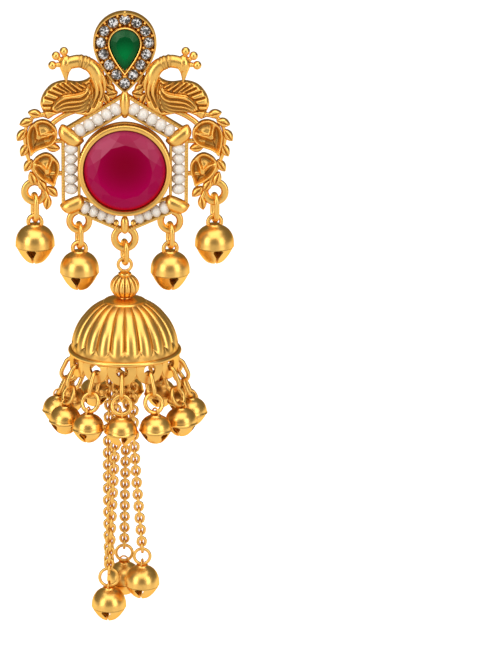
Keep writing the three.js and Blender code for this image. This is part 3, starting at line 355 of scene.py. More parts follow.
def moved(grid, place=(0, 0, 0), turn=0.0, about="y"):
    """The grid turned about an axis through the origin, as (c x - s y, s x + c y) about Z,
    and then set at a place."""
    c, s = math.cos(turn), math.sin(turn)
    x, y, z = np.moveaxis(grid, -1, 0)
    if about == "y":
        x, z = c * x + s * z, c * z - s * x
    elif about == "z":
        x, y = c * x - s * y, s * x + c * y
    else:
        y, z = c * y - s * z, s * y + c * z
    return np.stack([x, y, z], -1) + np.asarray(place, float)


def ring(outer, thick, place=(0, 0, 0), steps=40, sides=12):
    """A round wire ring in the front view."""
    path = facing(circle(outer - thick / 2, steps), 0)
    return wire(path, thick / 2, sides, closed=True) + np.asarray(place, float)


def oval(length, width, thick, steps=40, sides=12):
    """An oval link in the front view: two half circles drawn apart up and down."""
    start = 0.0001  # keeps every point off the line between the halves
    path = facing(circle((width - thick) / 2, steps, start, TURN + start), 0)
    path[:, 2] += np.sign(path[:, 2]) * (length - width) / 2
    return wire(even(path, steps, closed=True), thick / 2, sides, closed=True)


class Shells:
    """Closed surfaces in millimetres that become one object."""

    def __init__(self):
        self.points, self.corners, self.recess = [], [], []
        self.count = 0

    def take(self, points, corners, marks):
        """Adds points, triangles between them, and each point's painted shade and patina."""
        self.points.append(points)
        self.corners.append(corners + self.count)
        self.recess.append(marks)
        self.count += len(points)
        return self

    def add(self, grid, loop=False, recess=0.0):
        """Takes a grid whose columns close on themselves. Its rows close too if it is a loop,
        and else each end is closed by a fan. The faces are turned so that the volume, a sixth
        of the sum of a . (b x c), is positive."""
        rows, columns = grid.shape[:2]
        mark = np.broadcast_to(recess, (rows, columns)).reshape(-1)
        place = np.arange(rows * columns).reshape(rows, columns)
        low = place if loop else place[:-1]
        high = np.roll(place, -1, 0) if loop else place[1:]
        a, b, c, d = low, np.roll(low, -1, 1), np.roll(high, -1, 1), high
        parts = [np.stack([a, b, c], -1), np.stack([a, c, d], -1)]
        points = grid.reshape(-1, 3)
        if not loop:
            ends = np.stack([grid[0].mean(0), grid[-1].mean(0)])
            points = np.vstack([points, ends])
            first, last = rows * columns, rows * columns + 1
            one, other = place[0], place[-1]
            full = np.full(columns, first)
            parts.append(np.stack([np.roll(one, -1), one, full], -1))
            parts.append(np.stack([other, np.roll(other, -1), full + last - first], -1))
            mark = np.concatenate([mark, [mark[0], mark[-1]]])
        corners = np.concatenate([part.reshape(-1, 3) for part in parts])
        p, q, r = (points[corners[:, k]] for k in range(3))
        if (p * np.cross(q, r)).sum() < 0:
            corners = corners[:, ::-1]
        return self.take(points, corners, mark)

    def join(self, other, place=(0, 0, 0), turn=0.0, mirror=False):
        """Adds a copy of other shells, turned about Z, set at a place, or mirrored in X."""
        points = moved(np.concatenate(other.points), place, turn, "z")
        corners = np.concatenate(other.corners)
        if mirror:
            points, corners = points * [-1, 1, 1], corners[:, ::-1]
        return self.take(points, corners, np.concatenate(other.recess))

    def mesh(self, name):
        """One mesh of triangles, with equal points merged and collapsed triangles dropped."""
        points = np.concatenate(self.points)
        corners = np.concatenate(self.corners)
        marks = np.concatenate(self.recess)
        nearest = 1e4  # points that round to the same 0.0001 mm are one
        keys = np.round(points * nearest).astype(np.int64)
        _, first, where = np.unique(keys, axis=0, return_index=True, return_inverse=True)
        points, marks = points[first], marks[first]
        corners = where.reshape(-1)[corners]
        a, b, c = corners.T
        corners = corners[(a != b) & (b != c) & (c != a)]
        made = bpy.data.meshes.new(name)
        made.vertices.add(len(points))
        made.vertices.foreach_set("co", (points * MM).astype(np.float32).ravel())
        made.loops.add(corners.size)
        made.loops.foreach_set("vertex_index", corners.astype(np.int32).ravel())
        made.polygons.add(len(corners))
        made.polygons.foreach_set("loop_start", np.arange(0, corners.size, 3, dtype=np.int32))
        made.update(calc_edges=True)
        # Each point's darkness is painted shade in recesses, hollows and grooves, together with
        # the patina of antique gold.
        made.attributes.new("recess", "FLOAT", "POINT").data.foreach_set(
            "value", marks.astype(np.float32)
        )
        return made


def shells_of(mesh):
    """The shells of a mesh, with its points divided by 0.001 into millimetres."""
    points = np.zeros(len(mesh.vertices) * 3, np.float32)
    mesh.vertices.foreach_get("co", points)
    mesh.calc_loop_triangles()
    corners = np.zeros(len(mesh.loop_triangles) * 3, np.int32)
    mesh.loop_triangles.foreach_get("vertices", corners)
    marks = np.zeros(len(mesh.vertices), np.float32)
    if "recess" in mesh.attributes:
        mesh.attributes["recess"].data.foreach_get("value", marks)
    points = points.reshape(-1, 3).astype(float) / MM
    return Shells().take(points, corners.reshape(-1, 3), marks.astype(float))


def carved(body, cutters):
    """The body with the cutters taken out of it, as shells."""
    whole = bpy.data.objects.new("body", body.mesh("body"))
    bpy.context.scene.collection.objects.link(whole)
    tools = []
    for cutter in cutters:
        tool = bpy.data.objects.new("cutter", cutter.mesh("cutter"))
        bpy.context.scene.collection.objects.link(tool)
        cut = whole.modifiers.new("cut", "BOOLEAN")
        cut.operation, cut.solver, cut.object = "DIFFERENCE", "EXACT", tool
        tools.append(tool)
    seen = bpy.context.evaluated_depsgraph_get()
    seen.update()
    result = shells_of(whole.evaluated_get(seen).to_mesh())
    for gone in [whole, *tools]:
        bpy.data.objects.remove(gone)
    return result


def piece(name, mesh, material, body, replaced, sharp=38):
    """Puts a finished mesh in the scene in place of solids of the frame."""
    made = bpy.data.objects.new(name, mesh)
    bpy.context.scene.collection.objects.link(made)
    mesh.materials.append(material)
    mesh.polygons.foreach_set("use_smooth", [sharp > 0] * len(mesh.polygons))
    if sharp > 0:
        mesh.set_sharp_from_angle(angle=math.radians(sharp))
    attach(made, body)
    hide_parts(*replaced)
    return made


# Materials

GOLD_TINT = (1, 0.7, 0.38, 1)
# Painted light: bright red low on the red stone's rim.
RED_RIM_LIGHT = (0.5, 0.002, 0.012)
# Painted highlights on the green stone's facets.
GREEN_FACET_HIGHLIGHT = (0.05, 0.13, 0.06)
# Painted glints and dark reflections on the clear stones' facets.
FACET_DARK_REFLECTION, FACET_GLINT = (0.03, 0.028, 0.025), (0.92, 0.92, 0.93)
# Painted sheen and shade on the pearls' rims.
PEARL_EDGE_SHADE = (0.5, 0.36, 0.23)


class Value:
    """A shader socket that can be used in sums: each operator adds a Math node."""

    def __init__(self, tree, socket):
        self.tree, self.socket = tree, socket

    def node(self, kind, settings=None, **inputs):
        """Adds a node with its settings and inputs: at0 is the first input, at1 the second."""
        made = self.tree.nodes.new(kind)
        for key, setting in (settings or {}).items():
            setattr(made, key, setting)
        for key, given in inputs.items():
            socket = made.inputs[int(key[2:])] if key.startswith("at") else made.inputs[key]
            if isinstance(given, Value):
                self.tree.links.new(given.socket, socket)
            else:
                socket.default_value = given
        return Value(self.tree, made.outputs[0])

    def out(self, name):
        """Another output of the node that this value comes from."""
        return Value(self.tree, self.socket.node.outputs[name])

    def math(self, operation, *others):
        """This value and others through a Math node."""
        inputs = {"at" + str(i): one for i, one in enumerate((self, *others))}
        return self.node("ShaderNodeMath", {"operation": operation}, **inputs)

    def __add__(self, other):
        return self.math("ADD", other)

    def __mul__(self, other):
        return self.math("MULTIPLY", other)

    def __sub__(self, other):
        return self.math("SUBTRACT", other)

    def __rsub__(self, other):
        return self.math("MULTIPLY", -1.0).math("ADD", other)

    __radd__ = __add__

    def clamped(self):
        """This value, held between 0 and 1."""
        return self.math("MAXIMUM", 0.0).math("MINIMUM", 1.0)

    def mix(self, first, second):
        """The colour first where this value is 0, second where it is 1."""
        first, second = (c if isinstance(c, Value) else (*c, 1) for c in (first, second))
        made = self.node("ShaderNodeMix", {"data_type": "RGBA"}, at0=self, at6=first, at7=second)
        return Value(self.tree, made.socket.node.outputs[2])


def shaded(name):
    """A new material, its shader and a first value: its Object coordinates."""
    made = bpy.data.materials.new(name)
    made.use_nodes = True
    tree = made.node_tree
    shader = tree.nodes["Principled BSDF"]
    place = tree.nodes.new("ShaderNodeTexCoord")
    return made, shader, Value(tree, place.outputs["Object"])


def plug(shader, socket, value):
    """Links a value to a socket of the shader."""
    value.tree.links.new(value.socket, shader.inputs[socket])


def noise(place, scale, detail):
    """Clouds of about 1 / scale metres."""
    return place.node("ShaderNodeTexNoise", Vector=place, Scale=scale, Detail=detail)


def bumped(shader, height, strength, distance):
    """Roughens the shader's surface by a height value."""
    made = height.node("ShaderNodeBump", Height=height, Strength=strength, Distance=distance)
    plug(shader, "Normal", made)


def gold_finish():
    """Antique gold: polished where it stands out, dark and rougher in the recesses, where
    painted shade joins the patina, with cloudy wear and a fine cast grain."""
    look = finishes()
    made, shader, place = shaded("antique_gold")
    mark = place.node("ShaderNodeAttribute", {"attribute_name": "recess"}).out("Fac")
    cloud = noise(place, 320.0, 4.0)
    grain = noise(place, 2600.0, 2.0)
    # Painted shade: marked points turn to the deep gold, together with the patina in the
    # recesses.
    dark = (mark * 0.9 + (cloud - 0.5) * 0.3 * (mark + 0.12)).clamped()
    redder = tuple(c * k for c, k in zip(look.gold, (1.0, 0.93, 0.8)))
    warm = (cloud * 1.6 - 0.5).clamped().mix(tuple(look.gold), redder)
    plug(shader, "Base Color", dark.mix(warm, tuple(look.gold_deep)))
    rough = look.gold_roughness + (cloud - 0.5) * 0.16 + mark * 0.22 + (grain - 0.5) * 0.06
    plug(shader, "Roughness", rough.clamped())
    shader.inputs["Metallic"].default_value = 1
    shader.inputs["Specular Tint"].default_value = GOLD_TINT
    bumped(shader, grain * 0.5 + cloud, 0.12, 0.00008)
    return made


def span(place, centre, reach):
    """Height over a centre (x, z) and distance from it in the front view, sqrt(x^2 + z^2),
    both as shares of a reach."""
    parts = place.node("ShaderNodeSeparateXYZ", Vector=place)
    x = (parts.out("X") - centre[0] * MM) * (1 / (reach * MM))
    z = (parts.out("Z") - centre[1] * MM) * (1 / (reach * MM))
    return z, (x * x + z * z).math("SQRT")


def stone_finish(name, roughness=0.08, gloss=0.02):
    """A foiled glass stone; the attribute facet holds how light each facet is painted, as
    painted highlights and reflections.
    """
    made, shader, place = shaded(name)
    facet = place.node("ShaderNodeAttribute", {"attribute_name": "facet"}).out("Fac")
    shader.inputs["Roughness"].default_value = roughness
    shader.inputs["Specular IOR Level"].default_value = gloss
    return made, shader, place, facet


def ruby_finish():
    """Red glass: darkest over the middle, purple towards the edge, with painted light bright red
    low on the rim and pale facets as painted highlights."""
    look = finishes()
    made, shader, place, facet = stone_finish("red_stone")
    _, far = span(place, (0, RUBY[2] + 1.4), 5.2)
    body = (far * far).clamped().mix(tuple(look.ruby), tuple(look.ruby_edge))
    body = facet.mix(body, tuple(look.ruby_light))
    z, far = span(place, (0, RUBY[2]), 6.8)
    rim = ((far - 0.9) * 14.0).clamped() * ((0.75 - z) * 0.7).clamped()
    plug(shader, "Base Color", rim.mix(body, RED_RIM_LIGHT))
    return made


def emerald_finish():
    """Green glass: lighter in a tongue that runs down to the tip as painted light, with pale
    facets as painted highlights.
    """
    look = finishes()
    made, shader, place, facet = stone_finish("green_stone")
    _, far = span(place, (0, BACK_Z - 1.6), 2.6)
    body = (far * 1.25 - 0.15).clamped().mix(tuple(look.emerald_light), tuple(look.emerald))
    plug(shader, "Base Color", facet.mix(body, GREEN_FACET_HIGHLIGHT))
    return made


def white_finish():
    """Clear glass over foil: each facet painted anything from dark grey to white, as glints and
    dark reflections.
    """
    made, shader, _, facet = stone_finish("clear_stone", 0.06, 0.12)
    plug(shader, "Base Color", facet.mix(FACET_DARK_REFLECTION, FACET_GLINT))
    shader.inputs["Metallic"].default_value = 0.1
    return made


def pearl_finish():
    """Pearl: a pale body, warmer and darker where it is seen edge on as painted sheen and shade,
    with faint clouds.
    """
    look = finishes()
    made, shader, place = shaded("seed_pearl")
    cloud = noise(place, 500.0, 2.0)
    edge = place.node("ShaderNodeLayerWeight", Blend=0.32).out("Facing")
    share = (edge * 0.75 + (cloud - 0.5) * 0.25).clamped()
    plug(shader, "Base Color", share.mix(tuple(look.pearl), PEARL_EDGE_SHADE))
    plug(shader, "Roughness", 0.2 + cloud * 0.12)
    shader.inputs["Coat Weight"].default_value = 0.6
    shader.inputs["Subsurface Weight"].default_value = 0.15
    shader.inputs["Subsurface Radius"].default_value = (0.0004, 0.0003, 0.0002)
    bumped(shader, cloud, 0.05, 0.00005)
    return made


def finish(name):
    """A material by name, made the first time that it is asked for."""
    makers = {
        "antique_gold": gold_finish,
        "red_stone": ruby_finish,
        "green_stone": emerald_finish,
        "clear_stone": white_finish,
        "seed_pearl": pearl_finish,
    }
    return bpy.data.materials.get(name) or makers[name]()


def gold_piece(name, shells, body, *replaced, sharp=38):
    """Puts shells in the scene as a gold piece."""
    mesh = shells.mesh(name)
    return piece(name, mesh, finish("antique_gold"), body, replaced, sharp)


# The crest

TIP_PACE = 1.3  # how much faster than its sides the pear's tip draws in
WHITE_LINE = 1.3  # line of the white stones inside the crest's edge
WHITE_COUNT = 14
PRONG_SPREAD = 0.78  # from the line of the white stones to the prong beads beside it


def crest_line(inset, count):
    """The crest's pear, drawn in by inset, about the middle of its round top."""
    radius, tip = stud().crest_radius / MM, stud().crest_tip / MM
    return pear_line(radius - inset, tip - TIP_PACE * inset, count)


def pear_rows(rows, columns=260):
    """A surface over pears drawn in by the rows' first number, at the height of their second.
    None stands for the middle point."""
    middle = np.zeros((columns, 2)) + [0, -0.4]
    lines = [middle if inset is None else crest_line(inset, columns) for inset, _ in rows]
    grids = [facing(line + [0, BACK_Z], height) for line, (_, height) in zip(lines, rows)]
    return np.stack(grids)


def white_places(offset=0.0, shift=0.0):
    """Places along the pear line of the white stones, moved sideways off it by offset."""
    fine = 40  # steps from one stone to the next
    line = crest_line(WHITE_LINE, WHITE_COUNT * fine)
    along = np.roll(line, -1, 0) - np.roll(line, 1, 0)
    along /= np.linalg.norm(along, axis=1, keepdims=True)
    pick = (np.arange(WHITE_COUNT) * fine + int(shift * fine)) % len(line)
    out = np.stack([along[pick, 1], -along[pick, 0]], 1)
    return line[pick] + offset * out + [0, BACK_Z]


class JHUMKA_OT_crest(Operator):
    """The pear-shaped setting at the top, with its prong beads"""

    bl_idname = "jhumka.crest"
    bl_label = "Crest"

    def execute(self, context):
        high = stud().crest_height / MM
        shells = Shells()
        # Inset and height: back, outer wall and rim, the white stones' channel, the green
        # stone's rim and its floor
        rows = [
            (None, 0), (0, 0), (0, high - 0.12), (0.06, high - 0.02), (0.16, high),
            (0.27, high - 0.03), (0.33, high - 0.12), (0.36, 1.2), (0.5, 1.05), (1.3, 1.0),
            (2.25, 1.05), (2.38, 1.2), (2.42, 2.25), (2.48, 2.4), (2.58, 2.46),
            (2.68, 2.42), (2.74, 2.3), (2.76, 1.5), (3.2, 1.3), (None, 1.3),
        ]
        # Painted shade in the white stones' channel and on their seats.
        in_channel = [1.0 if 0.34 < (inset or 0) < 2.3 else 0.0 for inset, _ in rows]
        shells.add(pear_rows(rows), recess=np.array(in_channel)[:, None])
        seat = [(1.02, 0.9), (1.02, 1.42), (0.94, 1.5), (0.86, 1.42), (0.84, 0.9)]
        for x, z in white_places():
            shells.add(turned(seat, 26, "y") + [x, 0, z], loop=True, recess=0.35)
        prong = [(0, 0.8), (0.27, 0.8), (0.27, 1.7), (0.2, 1.92), (0.1, 2.0), (0, 2.02)]
        for side in (-1, 1):
            for x, z in white_places(side * PRONG_SPREAD, 0.5):
                shells.add(turned(prong, 12, "y") + [x, 0, z])
        knob = 0.5
        top = BACK_Z + stud().crest_radius / MM - 0.29
        shells.add(bead((0, -high + knob, top), knob))
        gold_piece("crest_setting", shells, "stud", "stud_frame")
        return {"FINISHED"}


# Stones


def hull_piece(name, groups, material, replaced, tone, poked=False):
    """Cut stones on the stud: the convex hull of each group of corners, with flat facets. The
    tone of each facet, a painted highlight or reflection, comes from its normal and a random
    number. A poked stone has its table cut into triangles."""
    shape = bmesh.new()
    for group in groups:
        corners = [shape.verts.new(corner) for corner in np.asarray(group) * MM]
        made = bmesh.ops.convex_hull(shape, input=corners)
        bmesh.ops.delete(shape, geom=made["geom_interior"], context="VERTS")
    flat = math.radians(1.5)  # facets that differ by less than this become one
    bmesh.ops.dissolve_limit(
        shape, angle_limit=flat, verts=shape.verts[:], edges=shape.edges[:]
    )
    bmesh.ops.recalc_face_normals(shape, faces=shape.faces[:])
    if poked:
        tables = [face for face in shape.faces if face.normal.y < -0.99]
        bmesh.ops.poke(shape, faces=tables)
    mesh = bpy.data.meshes.new(name)
    shape.to_mesh(mesh)
    shape.free()
    count = len(mesh.polygons)
    normals = np.zeros(3 * count)
    mesh.polygons.foreach_get("normal", normals)
    chance = np.random.default_rng(3).random(count)
    tones = tone(normals.reshape(-1, 3), chance)
    mesh.attributes.new("facet", "FLOAT", "FACE").data.foreach_set(
        "value", np.clip(tones, 0, 1).astype(np.float32)
    )
    return piece(name, mesh, material, "stud", replaced, sharp=0)


def lit_tone(normals, chance):
    """Painted highlights: dark on the table; on the crown a little by chance and most where a
    facet leans up to the left, less where it leans up to the right, as if lit from those sides."""
    lean = np.hypot(normals[:, 0], normals[:, 2])
    way = normals / np.maximum(lean, 1e-6)[:, None]
    left = np.clip(-0.62 * way[:, 0] + 0.78 * way[:, 2], 0, 1) ** 6
    right = np.clip(0.66 * way[:, 0] + 0.75 * way[:, 2], 0, 1) ** 9
    crown = 0.03 + 0.1 * chance + 0.7 * left + 0.5 * right
    return np.where(lean < 0.02, 0.0, crown)


def sparkle_tone(_, chance):
    """Painted glints: about half of the facets white, the others grey or dark, whatever way they
    face.
    """
    return np.where(chance > 0.55, 0.1 + 0.8 * chance, chance * 0.3)


def stone_ring(radius, height, count, shift=0.0):
    """Corners (r sin a, -h, r cos a), evenly round, moved on by a share of their distance."""
    a = TURN * (np.arange(count) + shift) / count
    return facing(np.stack([radius * np.sin(a), radius * np.cos(a)], 1), height)


class JHUMKA_OT_stones(Operator):
    """The red, the green and the white stones"""

    bl_idname = "jhumka.stones"
    bl_label = "Stones"

    def execute(self, context):
        low, high = box_of("ruby_stone")
        radius, top = (high[0] - low[0]) / 2, -low[1]
        # Each level: share of the radius, height, number of corners and how they are shifted
        levels = [
            (0.4, top - 2.85, 16, 0.0), (1.0, top - 1.3, 48, 0.0), (1.0, top - 1.15, 48, 0.0),
            (0.91, top - 0.66, 24, 0.5), (0.8, top - 0.28, 12, 0.5), (0.68, top, 12, 0.0),
        ]
        corners = [stone_ring(radius * r, h, n, s) for r, h, n, s in levels]
        red = np.concatenate(corners) + [0, 0, RUBY[2]]
        hull_piece(
            "round_red_stone", [red], finish("red_stone"), ["ruby_stone"], lit_tone
        )

        low, high = box_of("emerald_stone")
        top = -low[1]
        levels = [
            (0.3, top - 1.6, 8), (1.0, top - 0.9, 36), (1.0, top - 0.8, 36),
            (0.82, top - 0.36, 18), (0.6, top, 12),
        ]
        wide, tip = 2.4, 4.6
        pears = [facing(pear_line(wide * r, tip * r, n), h) for r, h, n in levels]
        green = np.concatenate(pears) + [0, 0, BACK_Z]
        hull_piece(
            "pear_green_stone", [green], finish("green_stone"), ["emerald_stone"],
            lit_tone,
        )

        levels = [
            (0.05, 0.95, 8, 0.0), (0.85, 1.45, 16, 0.0), (0.85, 1.5, 16, 0.0),
            (0.68, 1.68, 8, 0.5), (0.48, 1.82, 8, 0.0),
        ]
        one = np.concatenate([stone_ring(r, h, n, s) for r, h, n, s in levels])
        groups = [one + [x, 0, z] for x, z in white_places()]
        names = ["white_stone_%02d" % (i + 1) for i in range(WHITE_COUNT)]
        hull_piece(
            "white_stones", groups, finish("clear_stone"), names, sparkle_tone,
            poked=True,
        )
        return {"FINISHED"}


# Hexagon, bezel and rings

CLAW_LEVEL = 1.5
# Each upright claw at the tips: radius, length, and its middle over the hexagon's middle
CLAWS = [(0.88, 4.9, HEX_TOP - 1.95), (0.72, 3.2, 1.5 - HEX_BOTTOM)]
# Each half-moon claw, from the hexagon's shoulder: its outer and its inner end
UPPER_CRESCENT = ((0.05, 1.0), (-3.8, -1.9))
LOWER_CRESCENT = ((0.3, 0.1), (-3.6, 1.85))
CRESCENT_RADIUS = 1.3
PEG_PLACE = (1.45, -0.5, 1.75 - HEX_BOTTOM)


def claw(radius, length, height):
    """An upright spindle in the middle of the front: radius r (1 - 0.72 |t|^3)."""
    t = np.linspace(-1, 1, 25)
    thick = radius * (1 - 0.72 * np.abs(t) ** 3)
    thick[[0, -1]] = 0
    profile = np.stack([thick, t * length / 2], 1)
    return turned(profile, 20) + [0, -CLAW_LEVEL, RUBY[2] + height]


def crescent(start, end, bulge, radius, level):
    """A half-moon claw from start to end: a body of radius r (1 - |t|^2.8)^0.5 whose middle
    line is moved sideways by 0.6 of that radius, to the side that the bulge's sign gives, so
    that the other side stays nearly straight."""
    t = np.linspace(-1, 1, 31)
    start, end = np.asarray(start, float), np.asarray(end, float)
    along = (end - start) / np.linalg.norm(end - start)
    side = np.array([along[1], -along[0]]) * bulge
    thick = radius * np.clip(1 - np.abs(t) ** 2.8, 0, 1) ** 0.5
    line = start + (t[:, None] + 1) / 2 * (end - start) + 0.6 * side * thick[:, None]
    straight = facing(start + (t[:, None] + 1) / 2 * (end - start), level)
    a = np.linspace(0, TURN, 22, endpoint=False)[None, :, None]
    ring_at = np.cos(a) * [side[0], 0, side[1]] + np.sin(a) * np.array([0, -1.0, 0])
    centre = facing(line, level)
    centre[[0, -1]] = straight[[0, -1]]
    return centre[:, None] + thick[:, None, None] * ring_at


def kept_ring(x, z, outer, hole, inside):
    """A flat ring with rounded edges, without the part of it that lies inside the hexagon."""
    a = np.linspace(0, TURN, 181)
    edge = np.stack([x + outer * np.cos(a), z + outer * np.sin(a)], 1)
    low, high = inside[:, 1].min(), inside[:, 1].max()
    centre = np.array([0, (low + high) / 2])
    reach = np.linalg.norm(edge - centre, axis=1)
    bound = np.degrees(np.arctan2(*(edge - centre).T))
    line = np.degrees(np.arctan2(*(inside - centre).T))
    order = np.argsort(line)
    limit = np.interp(
        bound, line[order], np.linalg.norm(inside - centre, axis=1)[order], period=360
    )
    overlap = 0.15
    free = reach > limit - overlap
    if free.all():
        start, end, closed = 0.0, TURN, True
    else:
        gone = a[~free]
        middle = math.atan2(np.sin(gone).sum(), np.cos(gone).sum())
        half = (~free).sum() / len(a) * math.pi
        start, end, closed = middle + half, middle - half + TURN, False
    count = 72
    turn = np.linspace(start, end, count, endpoint=not closed)
    r = RING_THICK / 2
    profile = [
        (hole + 0.1, -r), (outer - 0.2, -r), (outer, -r + 0.25), (outer, r - 0.25),
        (outer - 0.1, r - 0.1), (outer - 0.3, r), (hole + 0.5, r), (hole + 0.28, r - 0.06),
        (hole + 0.22, r - 0.16), (hole + 0.06, r - 0.24), (hole, r - 0.34), (hole, -r + 0.1),
    ]
    radius, height = np.array(profile).T
    x_at = x + radius[None] * np.cos(turn)[:, None]
    z_at = z + radius[None] * np.sin(turn)[:, None]
    y_at = np.broadcast_to(-RING_LEVEL - height[None], x_at.shape)
    return np.stack([x_at, y_at, z_at], -1), closed


def hex_rail():
    """The hexagon's outer rail, with fine slanting cuts w^3 across its front, where w is
    0.5 + 0.5 cos of the length along it, and how dark it is painted: painted shade in the cuts."""
    each = 190
    steps = np.linalg.norm(np.diff(hex_line(0, each), axis=0), axis=1)
    length = np.concatenate([[0], np.cumsum(steps)])
    # Inset, height, and whether the cuts reach it
    rows = [
        (0, RAIL_BACK, 0), (0, 1.7, 0), (0.07, 1.84, 1), (0.3, RAIL_FRONT, 1),
        (0.52, 1.84, 1), (0.6, 1.7, 0), (0.6, RAIL_BACK, 0),
    ]
    step, slant = stud().rail_hatch / MM, 0.8
    grids, marks = [], []
    for inset, height, cut in rows:
        wave = 0.5 + 0.5 * np.cos(TURN * (length / step + slant * inset))
        grids.append(facing(hex_line(inset, each), height - 0.03 * cut * wave**3))
        marks.append(0.22 * cut * wave**3)
    return np.stack(grids), np.stack(marks)


def bezel():
    """The setting of the red stone, turned about the stone's axis, with notches
    (0.5 + 0.5 cos n a)^2 under its rolled lip, and its painted shade at the foot and inside."""
    lip = stud().bezel_lip / MM
    low, high = box_of("ruby_stone")
    inside = (high[0] - low[0]) / 2 + 0.1
    outer = inside + 0.6
    tall, floor = 3.5, 0.9
    # Radius, height, share of the notches and painted shade
    rows = np.array(
        [
            (0, 0, 0, 0), (outer + 0.25, 0, 0, 0), (outer + 0.28, 0.35, 0, 0),
            (outer + 0.25, 0.62, 0, 0), (outer + 0.12, 0.76, 0, 0.3), (outer, 0.82, 0, 0.8),
            (outer - 0.04, 1.6, 0, 0.5), (outer, tall - 2.2 * lip, 0.1, 0.2),
            (outer + 0.6 * lip, tall - 1.7 * lip, 0.3, 0), (outer + lip, tall - lip, 0.3, 0),
            (outer + 0.8 * lip, tall - 0.4 * lip, 0.2, 0),
            (outer + 0.25 * lip, tall - 0.05 * lip, 0, 0), (outer - 0.5 * lip, tall, 0, 0),
            (inside + 0.12, tall - 0.1, 0, 0), (inside, tall - 0.35, 0, 0.5),
            (inside, floor, 0, 1), (0, floor, 0, 1),
        ]
    )
    notched, dark = rows[:, 2:3], rows[:, 3:4]
    sides, notches = 520, 104
    a = np.linspace(0, TURN, sides, endpoint=False)
    wave = (0.5 + 0.5 * np.cos(notches * a)) ** 2
    grid = turned(rows[:, :2], sides, "y", factor=1 - 0.012 * notched * wave)
    return grid + [0, 0, RUBY[2]], dark + 0.3 * notched * wave


# The rings along the lower edge: x, z, outer radius and radius of the hole
STUD_RINGS = [
    (-15.1, -22.3, 2.3, 1.05), (-7.65, -27.35, 2.2, 1.05), (0.0, -30.35, 2.35, 1.1),
    (7.65, -27.35, 2.2, 1.05), (15.1, -22.3, 2.3, 1.05),
]


class JHUMKA_OT_hexagon(Operator):
    """The hexagon with its claws, the bezel of the red stone and the rings below"""

    bl_idname = "jhumka.hexagon"
    bl_label = "Hexagon and bezel"

    def execute(self, context):
        shells = Shells()
        grid, mark = hex_rail()
        shells.add(grid, loop=True, recess=mark)
        inner = RAIL_WIDTH + CHANNEL
        # The inner rail: inset and height
        rows = [
            (-0.06, RAIL_BACK), (-0.06, 1.35), (0.02, 1.5), (0.36, 1.5), (0.46, 1.35),
            (0.46, RAIL_BACK),
        ]
        grids = [facing(hex_line(inner + inset, 8), height) for inset, height in rows]
        shells.add(np.stack(grids), loop=True)

        for sizes in CLAWS:
            shells.add(claw(*sizes))
        peg = [(0, 0), (0.44, 0), (0.48, 0.9), (0.38, 1.15), (0.15, 1.27), (0, 1.29)]
        for side in (-1, 1):
            for up, ends in ((-1, LOWER_CRESCENT), (1, UPPER_CRESCENT)):
                shoulder = [side * HEX_HALF, RUBY[2] + up * HEX_SHOULDER]
                start, end = (np.array(place) * [side, 1] + shoulder for place in ends)
                shells.add(crescent(start, end, -side, CRESCENT_RADIUS, CLAW_LEVEL))
            x, y, z = PEG_PLACE
            shells.add(turned(peg, 14, "y") + [side * x, y, RUBY[2] + z])
        gold_piece("hexagon_frame", shells, "stud", "stud_frame")

        grid, mark = bezel()
        setting = Shells().add(grid, recess=mark)
        gold_piece("ruby_bezel", setting, "stud", "stud_frame")

        rings = Shells()
        inside = hex_line(RAIL_WIDTH, 60)
        for x, z, outer, hole in STUD_RINGS:
            grid, closed = kept_ring(x, z, outer, hole, inside)
            rings.add(grid, loop=closed)
        gold_piece("hanging_rings", rings, "stud", "stud_frame")
        return {"FINISHED"}


# Pearls

PEARL_LEVEL = 1.6
LONG_STRING, SHORT_STRING = (5, 1.72), (4, 1.5)  # number of pearls and their distance
PEARL_UNEVEN = 0.035


class JHUMKA_OT_pearls(Operator):
    """The six rows of seed pearls"""

    bl_idname = "jhumka.pearls"
    bl_label = "Seed pearls"

    def execute(self, context):
        radius = stud().pearl_radius / MM
        corners = hex_line(RAIL_WIDTH + CHANNEL / 2, 1)
        spread = np.random.default_rng(7)
        for i in range(6):
            start, end = corners[i], corners[(i + 1) % 6]
            short = start[1] + end[1] < 2 * RUBY[2] - HEX_BOTTOM / 2 and start[0] * end[0] == 0
            count, pitch = SHORT_STRING if short else LONG_STRING
            middle, along = (start + end) / 2, (end - start) / np.linalg.norm(end - start)
            angle = math.atan2(along[0], along[1])
            shells = Shells()
            for k in range(count):
                place = middle + along * (k - (count - 1) / 2) * pitch
                wobble = 1 + PEARL_UNEVEN * spread.standard_normal(3)
                shape = np.array([1.15, 1.05, 0.56 * pitch / radius]) * wobble
                grid = bead((0, 0, 0), radius, shape, sides=26, rows=17)
                shells.add(moved(grid, (place[0], -PEARL_LEVEL, place[1]), angle))
            name = "seed_pearls_%d" % (i + 1)
            solid = "pearl_string_%d" % (i + 1)
            piece(name, shells.mesh(name), finish("seed_pearl"), "stud", [solid], 80)
        return {"FINISHED"}


# Both sides of the stud


def both_sides(name, left):
    """Puts gold shells of the left side in the scene, and their mirror image on the right."""
    gold_piece(name + "_left", left, "stud", "stud_frame", sharp=60)
    right = Shells().join(left, mirror=True)
    gold_piece(name + "_right", right, "stud", "stud_frame", sharp=60)


# Peacocks: places are shares of a bird's length, outwards from the breast, and of its
# height, downwards from the top of the neck

